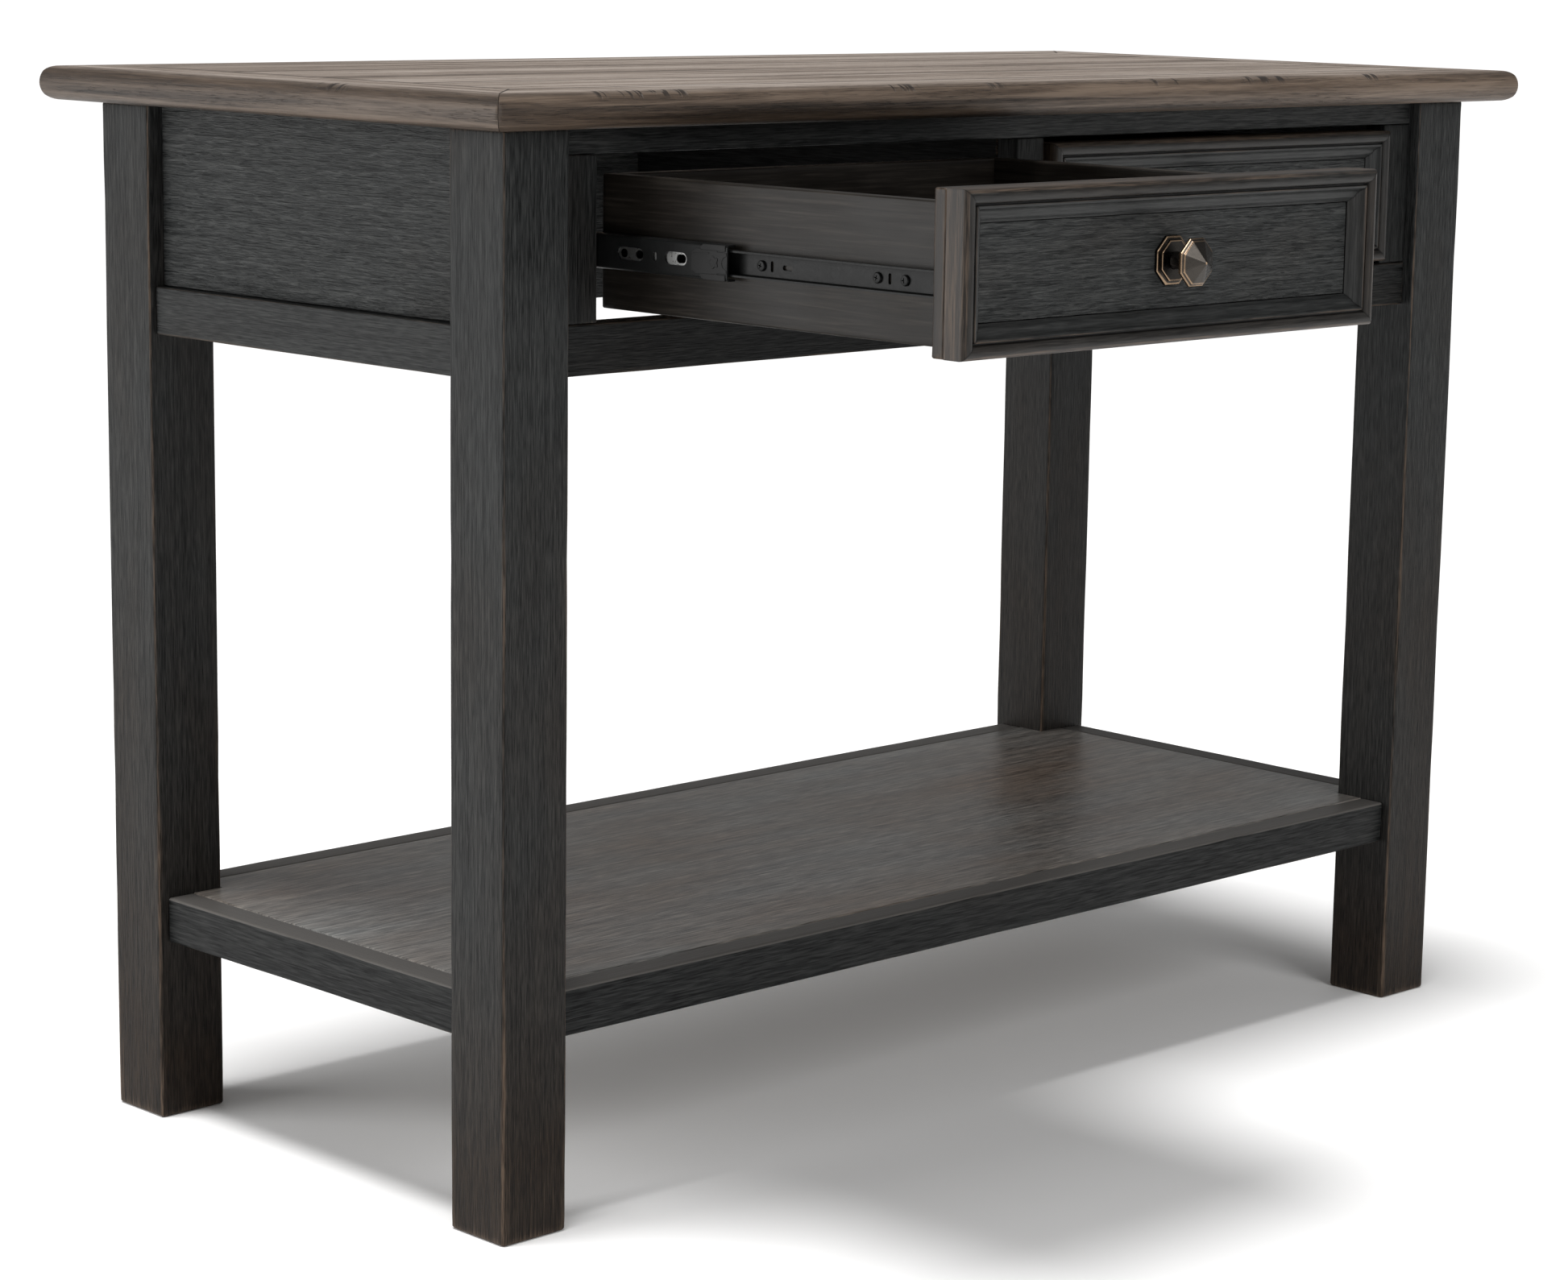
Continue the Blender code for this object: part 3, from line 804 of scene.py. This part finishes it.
# ==================== drawers
# The moulding, from its outer edge inward. Depths are behind the foremost face.
BEAD_RADIUS, BEAD_OUTER_DROP, BEAD_INNER_DROP = 4.5 * MM, 4.6 * MM, 3.4 * MM
BEAD_STEPS = 12
EDGE_LIP = 1.5 * MM
QUIRK_START, QUIRK_END, QUIRK_DEPTH = 9.3 * MM, 9.9 * MM, 3.9 * MM
RIDGE_START, RIDGE_END, RIDGE_SHOULDER = 10.2 * MM, 12.1 * MM, 2.1 * MM
FLAT_START, FLAT_END, FLAT_DEPTH = 10.5 * MM, 11.7 * MM, 1.8 * MM
SLOPE_START, SLOPE_WIDTH = 12.4 * MM, 7.6 * MM
SLOPE_DEPTH, SLOPE_FALL, SLOPE_SWELL = 3.0 * MM, 6.2 * MM, 0.13
SLOPE_STEPS = 8
PANEL_EDGE, PANEL_DEPTH = 20.9 * MM, 9.7 * MM
MOULDING_MITRE_GAP = 0.08 * MM
EDGE_SOFTNESS = 0.2 * MM
KNOB_RIM_BACK = 10.2 * MM


def moulding_profile(depth):
    """(inward, depth, values) round the moulding: bead, quirk, ridge and a slope to the panel."""
    points = [
        (0.0, depth, {"wear": 0.60, "tint": 0.6}),
        (0.0, depth * 0.6, {"wear": 0.42, "tint": 0.6}),
        (0.0, BEAD_OUTER_DROP + EDGE_LIP, {"wear": 0.52, "tint": 0.6}),
    ]
    for step in range(BEAD_STEPS + 1):
        angle = math.pi * (1.0 - step / BEAD_STEPS)
        drop = BEAD_OUTER_DROP if math.cos(angle) < 0.0 else BEAD_INNER_DROP
        inward = BEAD_RADIUS * (1.0 + math.cos(angle))
        rub = 0.70 if angle > math.pi * 0.65 else 0.15
        points.append((inward, drop * (1.0 - math.sin(angle)), {"wear": rub, "tint": 0.3}))
    points += [
        # The quirk's groove value paints deep shade into it.
        (QUIRK_START, QUIRK_DEPTH, {"groove": 1.0}),
        (QUIRK_END, QUIRK_DEPTH, {"groove": 1.0}),
        (RIDGE_START, RIDGE_SHOULDER, {"wear": 0.65}),
        (FLAT_START, FLAT_DEPTH, {"wear": 0.80}),
        (FLAT_END, FLAT_DEPTH, {"wear": 0.45}),
        (RIDGE_END, RIDGE_SHOULDER, {"wear": 0.55}),
        (SLOPE_START, SLOPE_DEPTH, {}),
    ]
    for step in range(1, SLOPE_STEPS + 1):
        part = step / SLOPE_STEPS
        swell = part + SLOPE_SWELL * math.sin(2.0 * math.pi * part)
        inward = SLOPE_START + SLOPE_WIDTH * part
        points.append((inward, SLOPE_DEPTH + SLOPE_FALL * swell, {"wear": 0.10}))
    # The crease by the panel gets painted shade.
    points += [(PANEL_EDGE, PANEL_DEPTH, {"groove": 0.6}), (PANEL_EDGE, depth, {})]
    return points


def build_moulding(node):
    """The four mitred sides of a drawer front's moulding, as one piece."""
    low, high = (Vector(corner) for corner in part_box(node))
    middle = (low + high) / 2
    middle.y = low.y
    half_x = (high.x - low.x) / 2
    half_z = (high.z - low.z) / 2
    profile = moulding_profile(high.y - low.y)
    surface = Surface()
    sides = (
        (0.0, half_x, half_z),
        (0.5, half_z, half_x),
        (1.0, half_x, half_z),
        (1.5, half_z, half_x),
    )
    for index, (turns, half, reach) in enumerate(sides):
        spin = Matrix.Rotation(turns * math.pi, 3, "Y")

        def place(along, inward, height, spin=spin, reach=reach):
            return middle + spin @ Vector((along, height, inward - reach))

        shift = shift_of(f"{node}{index}")
        swept_strip(surface, profile, half, MOULDING_MITRE_GAP, place, shift, pitch=0.015)
    surface.stand_in(node, "paint_smooth", angle=38.0)


def octagon_rings(profile):
    """Rings of eight sides from (distance to a flat, height, rub) points.

    Each ring is a list of (x, height, z, how near a corner) points, with softened corners.
    """
    rings = []
    for flat, height, _ in profile:
        ring = []
        for side in range(8):
            for lean in (-1.0, -0.6, 0.6, 1.0):
                angle = math.pi / 4 * side
                half_side = flat * math.tan(math.pi / 8)
                slide = half_side * lean
                cut = EDGE_SOFTNESS if abs(lean) == 1.0 else 0.0
                slide -= math.copysign(min(cut, half_side * 0.3), lean)
                x = flat * math.cos(angle) - slide * math.sin(angle)
                z = flat * math.sin(angle) + slide * math.cos(angle)
                ring.append((x, height, z, 1.0 if abs(lean) == 1.0 else 0.0))
        rings.append(ring)
    return rings


def build_turned(node, look, profile, centre, base_y):
    """An eight-sided turned piece on the drawer's face, pointing to -Y."""
    surface = Surface()
    shift = shift_of(node)
    rings = []
    for ring, (_, _, rub) in zip(octagon_rings(profile), profile):
        row = []
        for x, height, z, corner in ring:
            place = Vector((centre.x + x, base_y - height, centre.z + z))
            rubbed = max(rub, corner * 0.25)
            row.append(surface.point(place, grain_of(place, Y, shift), wear=rubbed))
        rings.append(row)
    surface.faces += quads_between(rings)
    surface.faces.append(tuple(rings[0]))
    surface.faces.append(tuple(reversed(rings[-1])))
    surface.stand_in(node, look, angle=18.0)


def build_knob(label):
    """A drawer's knob and its plate, each as (distance to a flat, height, rub) points."""
    plate_low, plate_high = (Vector(corner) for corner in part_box(f"{label}_knob_plate"))
    knob_low, knob_high = (Vector(corner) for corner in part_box(f"{label}_knob"))
    centre = (plate_low + plate_high) / 2
    flat = (plate_high.x - plate_low.x) / 2
    thick = plate_high.y - plate_low.y
    plate = (
        (flat, 0.0, 0.1),
        (flat, thick * 0.36, 0.25),
        (flat - 0.25 * MM, thick * 0.44, 1.0),
        (flat - 0.60 * MM, thick * 0.50, 1.0),
        (flat - 2.20 * MM, thick * 0.56, 0.1),
        (flat - 2.60 * MM, thick * 0.60, 0.2),
        (flat - 2.75 * MM, thick * 0.92, 0.8),
        (flat - 3.10 * MM, thick, 0.9),
        (flat - 4.00 * MM, thick, 0.1),
        (5.0 * MM, thick, 0.0),
    )
    build_turned(f"{label}_knob_plate", "bronze_plate", plate, centre, plate_high.y)
    head = (knob_high.x - knob_low.x) / 2
    reach = knob_high.y - knob_low.y
    rim = reach - KNOB_RIM_BACK
    knob = (
        (5.6 * MM, 0.0, 0.1),
        (5.2 * MM, 1.5 * MM, 0.1),
        (4.6 * MM, rim - 8.0 * MM, 0.1),
        (5.2 * MM, rim - 5.5 * MM, 0.1),
        (head - 4.5 * MM, rim - 1.8 * MM, 0.1),
        (head - 0.8 * MM, rim - 0.9 * MM, 0.35),
        (head - 0.2 * MM, rim - 0.4 * MM, 0.9),
        (head, rim, 0.8),
        (head, rim + 1.2 * MM, 0.8),
        (head - 0.2 * MM, rim + 1.6 * MM, 0.9),
        (head - 1.2 * MM, rim + 2.0 * MM, 0.2),
        (head - 1.5 * MM, rim + 2.8 * MM, 0.7),
        (head - 1.9 * MM, rim + 3.2 * MM, 0.8),
        (head - 2.6 * MM, rim + 3.6 * MM, 0.05),
        (1.6 * MM, reach - 0.9 * MM, 0.0),
        (0.7 * MM, reach - 0.35 * MM, 0.8),
        (0.2 * MM, reach, 0.9),
    )
    build_turned(f"{label}_knob", "bronze", knob, centre, knob_high.y)


def build_drawer(label):
    """A drawer's front with its moulding and knob, and the box behind it."""
    fine_board(
        f"{label}_front_backer",
        Z,
        "paint_smooth",
        radius=1.6 * MM,
        wear=0.8,
        tint=lambda place: 0.6,
    )
    fine_board(f"{label}_front_panel", X, "paint_coarse", radius=0.6 * MM, wear=0.1)
    build_moulding(f"{label}_front_moulding")
    build_knob(label)
    for hand in ("left", "right"):
        fine_board(f"{label}_box_{hand}_side", Y, "box", radius=1.5 * MM, dent=0.2 * MM, wear=0.5)
    fine_board(f"{label}_box_back", X, "box", radius=1.5 * MM, dent=0.2 * MM, wear=0.6)
    fine_board(f"{label}_box_bottom", X, "box", radius=0.6 * MM, dent=0.0)


# ==================== ball slides
SHEET, BEND = 1.2 * MM, 2.2 * MM
BEND_STEPS = 5
SLOT_STEPS = 6
CUTTER_REACH = 4 * MM
# Slots along a member's web, in millimetres: distance from its front end, length and height.
LONG_SLOT, SHORT_SLOT, STOP_SLOT = (25.0, 8.4), (21.0, 8.4), (3.4, 6.0)
TAB_SLOT, SCREW_SLOT, HOOK_SLOT = (2.6, 7.0), (9.0, 3.2), (12.0, 4.2)
MIDDLE_SLOTS = (
    (91.5, *LONG_SLOT),
    (48.0, *SHORT_SLOT),
    (68.0, *STOP_SLOT),
    (150.0, *LONG_SLOT),
    (205.0, *SHORT_SLOT),
)
DRAWER_SLOTS = (
    (43.0, *TAB_SLOT),
    (146.5, *TAB_SLOT),
    (132.5, *SCREW_SLOT),
    (215.0, *TAB_SLOT),
    (260.0, *HOOK_SLOT),
)
RETAINER_WINDOWS = ((44.0, 9.0, 5.6), (84.0, 7.0, 5.6), (99.0, 7.0, 5.6))
RETAINER_START, RETAINER_END, RETAINER_HALF = 16 * MM, 116 * MM, 7.6 * MM
RETAINER_BACK, RETAINER_SHEET = 1.35 * MM, 0.8 * MM
LATCH_LENGTH, LATCH_TIP, LATCH_CLEARANCE = 33 * MM, 0.6 * MM, 0.2 * MM
LATCH_MOUTH = 4.2 * MM
EAR_FRONT = 1.5 * MM
BOSS_RADIUS, BOSS_WAVE, BOSS_LOBES, BOSS_STEPS = 3.6, 0.8, 5, 30
SCREW_PLACES = (29.5, 53.0, 155.5, 235.0)
SCREW_RADIUS, SCREW_HEIGHT, SCREW_SIDES = 3.5 * MM, 1.9 * MM, 24
RECESS_LENGTH, RECESS_WIDTH, RECESS_DEPTH = 3.4 * MM, 0.8 * MM, 1 * MM


def channel_surface(node, front, slots):
    """The node's pressed channel with rounded bends, and slots set out from its front end."""
    low, high = (Vector(corner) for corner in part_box(node))
    web_at_low = web_is_low(node)
    web = low.x if web_at_low else high.x
    mouth = high.x if web_at_low else low.x
    inward = 1.0 if web_at_low else -1.0
    middle_z = (low.z + high.z) / 2
    half = (high.z - low.z) / 2

    def bent(offset):
        radius = BEND - offset
        points = [(mouth, half - offset)]
        centre_x = web + inward * BEND
        centre_z = half - BEND
        for step in range(BEND_STEPS + 1):
            angle = 0.5 * math.pi * step / BEND_STEPS
            x = centre_x - inward * radius * math.sin(angle)
            points.append((x, centre_z + radius * math.cos(angle)))
        return points

    outer, inner = bent(0.0), bent(SHEET)
    outer += [(x, -z) for x, z in reversed(outer)]
    inner += [(x, -z) for x, z in reversed(inner)]
    section = outer + list(reversed(inner))
    bm = bmesh.new()
    first = [bm.verts.new((x, low.y, middle_z + z)) for x, z in section]
    second = [bm.verts.new((x, high.y, middle_z + z)) for x, z in section]
    for face in quads_between((first, second)):
        bm.faces.new(face)
    size = len(section)
    for ring in (first, second):
        for index in range(size // 2 - 1):
            other = size - 1 - index
            bm.faces.new((ring[index], ring[index + 1], ring[other - 1], ring[other]))
    mesh = mesh_of(bm, f"fine_{node}")
    return cut_slots(mesh, web, front, middle_z, slots)


def web_is_low(node):
    """Cabinet-side webs face outwards, and the drawer member's web lies on the drawer."""
    on_left = "_slide_left_" in node
    return on_left != node.endswith("drawer_member")


def slot_outline(long_y, long_z):
    """A round-ended slot as (y, z) points about its centre."""
    radius = min(long_y, long_z) / 2
    run = max(long_y, long_z) / 2 - radius
    points = []
    for end in (1, -1):
        for step in range(SLOT_STEPS + 1):
            angle = math.pi * (step / SLOT_STEPS - 0.5)
            a = end * (run + radius * math.cos(angle))
            b = end * radius * math.sin(angle)
            points.append((a, b) if long_y >= long_z else (b, a))
    return points


def prism(name, points, x_low, x_high):
    """A closed (y, z) outline extruded from x_low to x_high."""
    bm = bmesh.new()
    face = bm.faces.new([bm.verts.new((x_low, y, z)) for y, z in points])
    grown = bmesh.ops.extrude_face_region(bm, geom=[face])["geom"]
    moved = [item for item in grown if isinstance(item, bmesh.types.BMVert)]
    bmesh.ops.translate(bm, verts=moved, vec=(x_high - x_low, 0.0, 0.0))
    return mesh_of(bm, name)


def cut_slot(mesh, web, y, z, long_y, long_z):
    """Cuts a round-ended slot through a mesh, within the cutter's reach of the web."""
    outline = [(y + a, z + b) for a, b in slot_outline(long_y, long_z)]
    cutter_mesh = prism("cutter", outline, web - CUTTER_REACH, web + CUTTER_REACH)
    cutter = scene_object("cutter", cutter_mesh)
    holder = scene_object("holder", mesh)
    boolean = holder.modifiers.new("slot", "BOOLEAN")
    boolean.object = cutter
    boolean.operation = "DIFFERENCE"
    graph = bpy.context.evaluated_depsgraph_get()
    cut = bpy.data.meshes.new_from_object(holder.evaluated_get(graph))
    for obj in (cutter, holder):
        bpy.data.objects.remove(obj, do_unlink=True)
    return cut


def cut_slots(mesh, web, front, z, slots):
    """Cuts slots that are given in millimetres from the front end."""
    for offset, long_y, long_z in slots:
        mesh = cut_slot(mesh, web, front + offset * MM, z, long_y * MM, long_z * MM)
    return mesh


def carry_grain(mesh, node):
    """Gives a mesh that was cut by Booleans the grain and wear values that shaders read."""
    shift = shift_of(node)
    grain = mesh.attributes.new("grain", "FLOAT_VECTOR", "POINT")
    for vertex, value in zip(mesh.vertices, grain.data):
        value.vector = grain_of(vertex.co, Y, shift)
    for name in Surface.FLOATS:
        mesh.attributes.new(name, "FLOAT", "POINT")


def soften(obj, width):
    bevel = obj.modifiers.new("Rounded edges", "BEVEL")
    bevel.width = width
    bevel.segments = 2
    bevel.limit_method = "ANGLE"


def middle_web(node):
    """A middle member's box corners, which way its web faces, and where the web is."""
    low, high = (Vector(corner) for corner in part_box(node))
    outward = -1.0 if "_slide_left_" in node else 1.0
    return low, high, outward, low.x if outward < 0 else high.x


def build_latch(node):
    """The plastic latch on the front end of a middle member: body, two ears, boss and spring."""
    low, high, outward, web = middle_web(node)
    middle_z = (low.z + high.z) / 2
    half = (high.z - low.z) / 2 - LATCH_CLEARANCE
    length = LATCH_LENGTH

    def plate(label, outline, rise, sunk, soft):
        points = [(low.y + y, middle_z + z) for y, z in outline]
        mesh = prism("prism", points, *sorted((web + outward * rise, web - outward * sunk)))
        carry_grain(mesh, node)
        soften(add_piece(f"{node}_{label}", mesh, "plastic", BODY_OF[node]), soft)

    lower = [
        (length, -half * 0.50),
        (length * 0.86, -half * 0.72),
        (length * 0.30, -half * 0.72),
        (length * 0.26, -half * 0.60),
        (LATCH_TIP, -half * 0.60),
    ]
    notch = []
    for step in range(9):
        angle = math.pi * (step / 8 - 0.5)
        notch.append((LATCH_TIP + LATCH_MOUTH * math.cos(angle), LATCH_MOUTH * math.sin(angle)))
    upper = [(y, -z) for y, z in reversed(lower)]
    plate("latch", lower + notch + upper, rise=0.30 * MM, sunk=1.9 * MM, soft=0.2 * MM)
    for label, way in (("lower", -1.0), ("upper", 1.0)):
        ear = [
            (EAR_FRONT, way * half * 0.66),
            (EAR_FRONT, way * half),
            (length * 0.66, way * half),
            (length * 0.74, way * half * 0.84),
            (length * 0.74, way * half * 0.66),
        ]
        plate(f"latch_{label}_ear", ear, rise=0.55 * MM, sunk=1.0 * MM, soft=0.25 * MM)
    boss = []
    for step in range(BOSS_STEPS):
        angle = 2 * math.pi * step / BOSS_STEPS
        radius = (BOSS_RADIUS + BOSS_WAVE * math.cos(BOSS_LOBES * angle)) * MM
        boss.append((length * 0.36 + radius * math.cos(angle), radius * math.sin(angle)))
    plate("latch_boss", boss, rise=0.75 * MM, sunk=0.5 * MM, soft=0.2 * MM)
    spring = [
        (length * 0.5, 5.2 * MM),
        (length * 0.97, 4.2 * MM),
        (length * 0.97, 5.0 * MM),
        (length * 0.5, 6.0 * MM),
    ]
    plate("latch_spring", spring, rise=0.60 * MM, sunk=0.2 * MM, soft=0.1 * MM)


def build_retainer(node):
    """The zinc ball retainer that shows through the middle member's slots, with its windows."""
    low, high, outward, web = middle_web(node)
    near = web - outward * RETAINER_BACK
    far = near - outward * RETAINER_SHEET
    middle_z = (low.z + high.z) / 2
    start, end = low.y + RETAINER_START, low.y + RETAINER_END
    bottom, top = middle_z - RETAINER_HALF, middle_z + RETAINER_HALF
    outline = [(start, bottom), (end, bottom), (end, top), (start, top)]
    mesh = prism("prism", outline, *sorted((near, far)))
    mesh = cut_slots(mesh, near, low.y, middle_z, RETAINER_WINDOWS)
    carry_grain(mesh, node)
    add_piece(f"{node}_retainer", mesh, "zinc", BODY_OF[node])


def build_screw(name, x, y, z, outward, body):
    """A pan-head screw with a cross recess, its head facing outward along X."""
    bm = bmesh.new()
    profile = (
        (SCREW_RADIUS, 0.0),
        (SCREW_RADIUS, 0.5 * SCREW_HEIGHT),
        (SCREW_RADIUS * 0.86, 0.86 * SCREW_HEIGHT),
        (SCREW_RADIUS * 0.5, SCREW_HEIGHT),
    )
    rings = []
    for reach, rise in profile:
        ring = []
        for side in range(SCREW_SIDES):
            angle = 2 * math.pi * side / SCREW_SIDES
            place = (rise, reach * math.cos(angle), reach * math.sin(angle))
            ring.append(bm.verts.new(place))
        rings.append(ring)
    for face in quads_between(rings):
        bm.faces.new(face)
    bm.faces.new(rings[0])
    bm.faces.new(rings[-1])
    mesh = mesh_of(bm, name)
    above = SCREW_HEIGHT + CUTTER_REACH - RECESS_DEPTH
    for long_y, long_z in ((RECESS_LENGTH, RECESS_WIDTH), (RECESS_WIDTH, RECESS_LENGTH)):
        mesh = cut_slot(mesh, above, 0.0, 0.0, long_y, long_z)
    if outward < 0:
        mesh.transform(Matrix.Scale(-1.0, 4, (1, 0, 0)))
    # Each place along the slide gives a screw its own turn.
    mesh.transform(Matrix.Rotation(math.radians(20.0 + 900.0 * y), 4, "X"))
    mesh.transform(Matrix.Translation((x, y, z)))
    carry_grain(mesh, name)
    add_piece(name, mesh, "steel", body)


def build_channel(node, front, slots):
    """The finer channel that takes the place of a CAD slide member."""
    mesh = channel_surface(node, front, slots)
    carry_grain(mesh, node)
    add_piece(f"fine_{node}", mesh, "steel", BODY_OF[node], (node,))


def build_slides(label):
    """A drawer's two slides. The cabinet members keep their CAD shape."""
    for hand, outward in (("left", -1.0), ("right", 1.0)):
        stem = f"{label}_slide_{hand}"
        frame["nodes"][f"{stem}_cabinet_member"].material_slots[0].material = LOOKS["cad_steel"]
        middle = f"{stem}_middle_member"
        build_channel(middle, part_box(middle)[0][Y], MIDDLE_SLOTS)
        build_latch(middle)
        build_retainer(middle)
        drawer = f"{stem}_drawer_member"
        low, high = (Vector(corner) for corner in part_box(drawer))
        build_channel(drawer, low.y, DRAWER_SLOTS)
        web = high.x if outward < 0 else low.x
        face = web + outward * SHEET
        middle_z = (low.z + high.z) / 2
        for index, offset in enumerate(SCREW_PLACES):
            name = f"{drawer}_screw_{index + 1}"
            build_screw(name, face, low.y + offset * MM, middle_z, outward, BODY_OF[drawer])


# ==================== stage, light and camera
FLOOR_REACH = 400.0
WORLD_STRENGTH = 0.27
SUN_ENERGY, SUN_ANGLE, SUN_OFFSET = 2.9, 17.0, (-0.5, 0.0, 4.0)
# Name, place beside the table's centre, side in metres and power in watts.
SOFTBOXES = (
    ("left_softbox", (-3.0, 1.4, 0.7), 2.4, 74.0),
    ("front_softbox", (-0.2, -3.2, 1.5), 1.8, 44.0),
)
# The camera's azimuth, elevation and roll in degrees, its place, and its lens.
CAMERA_AZIMUTH, CAMERA_ELEVATION, CAMERA_ROLL = 44.4998, -10.8186, 0.9154
CAMERA_X, CAMERA_Y_OFFSET, CAMERA_Z = -2.1134, -2.1512, 0.8657
CAMERA_SENSOR, CAMERA_LENS = 36.0, 90.57
CAMERA_SHIFT_X, CAMERA_SHIFT_Y = -0.0208, 0.0268
CAMERA_CLIP = 200.0


def build_stage():
    """A white floor that the table stands on."""
    mesh = bpy.data.meshes.new("studio_floor")
    signs = ((-1, -1), (1, -1), (1, 1), (-1, 1))
    corners = [(x * FLOOR_REACH, y * FLOOR_REACH, 0.0) for x, y in signs]
    mesh.from_pydata(corners, [], [(0, 1, 2, 3)])
    s = Shader("studio_floor")
    s.set(Base_Color=FLOOR_WHITE, Roughness=0.9)
    mesh.materials.append(s.material)
    floor = scene_object("studio_floor", mesh)


def build_world():
    world = bpy.data.worlds.new("studio")
    world.use_nodes = True
    background = world.node_tree.nodes["Background"]
    background.inputs["Color"].default_value = (1.0, 1.0, 1.0, 1.0)
    background.inputs["Strength"].default_value = WORLD_STRENGTH
    bpy.context.scene.world = world
    bpy.context.scene.view_settings.view_transform = "Standard"


def aim(obj, target):
    direction = Vector(target) - obj.location
    obj.rotation_euler = direction.to_track_quat("-Z", "Y").to_euler()


def build_lights(centre):
    sun_data = bpy.data.lights.new("soft_sun", "SUN")
    sun_data.energy = SUN_ENERGY
    sun_data.angle = math.radians(SUN_ANGLE)
    sun = scene_object("soft_sun", sun_data)
    sun.location = centre + Vector(SUN_OFFSET)
    aim(sun, centre)
    for name, offset, size, energy in SOFTBOXES:
        data = bpy.data.lights.new(name, "AREA")
        data.shape = "SQUARE"
        data.size = size
        data.energy = energy
        lamp = scene_object(name, data)
        lamp.location = centre + Vector(offset)
        aim(lamp, centre)


def build_camera(table_y):
    """The studio camera: about 3 m away, 44 degrees to the left, a little above the top."""
    azimuth = math.radians(CAMERA_AZIMUTH)
    elevation = math.radians(CAMERA_ELEVATION)
    roll = math.radians(CAMERA_ROLL)
    position = Vector((CAMERA_X, CAMERA_Y_OFFSET + table_y, CAMERA_Z))
    forward = Vector(
        (
            math.sin(azimuth) * math.cos(elevation),
            math.cos(azimuth) * math.cos(elevation),
            math.sin(elevation),
        )
    )
    level = Vector((math.cos(azimuth), -math.sin(azimuth), 0.0))
    upright = level.cross(forward)
    right = math.cos(roll) * level + math.sin(roll) * upright
    up = math.cos(roll) * upright - math.sin(roll) * level
    data = bpy.data.cameras.new("studio_camera")
    data.sensor_fit = "HORIZONTAL"
    data.sensor_width = CAMERA_SENSOR
    data.lens = CAMERA_LENS
    data.shift_x = CAMERA_SHIFT_X
    data.shift_y = CAMERA_SHIFT_Y
    data.clip_end = CAMERA_CLIP
    camera = scene_object("studio_camera", data)
    turn = Matrix((right, up, -forward)).transposed().to_4x4()
    camera.matrix_world = Matrix.Translation(position) @ turn
    bpy.context.scene.camera = camera


table_low = Vector(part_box("front_left_leg")[0])
table_high = Vector(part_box("back_right_leg")[1])
table_centre = (table_low + table_high) / 2
build_world()
build_stage()
build_lights(table_centre)
build_camera(table_centre.y)
build_top()
build_case()
build_shelf()
for drawer_label in ("left_drawer", "right_drawer"):
    build_drawer(drawer_label)
    build_slides(drawer_label)
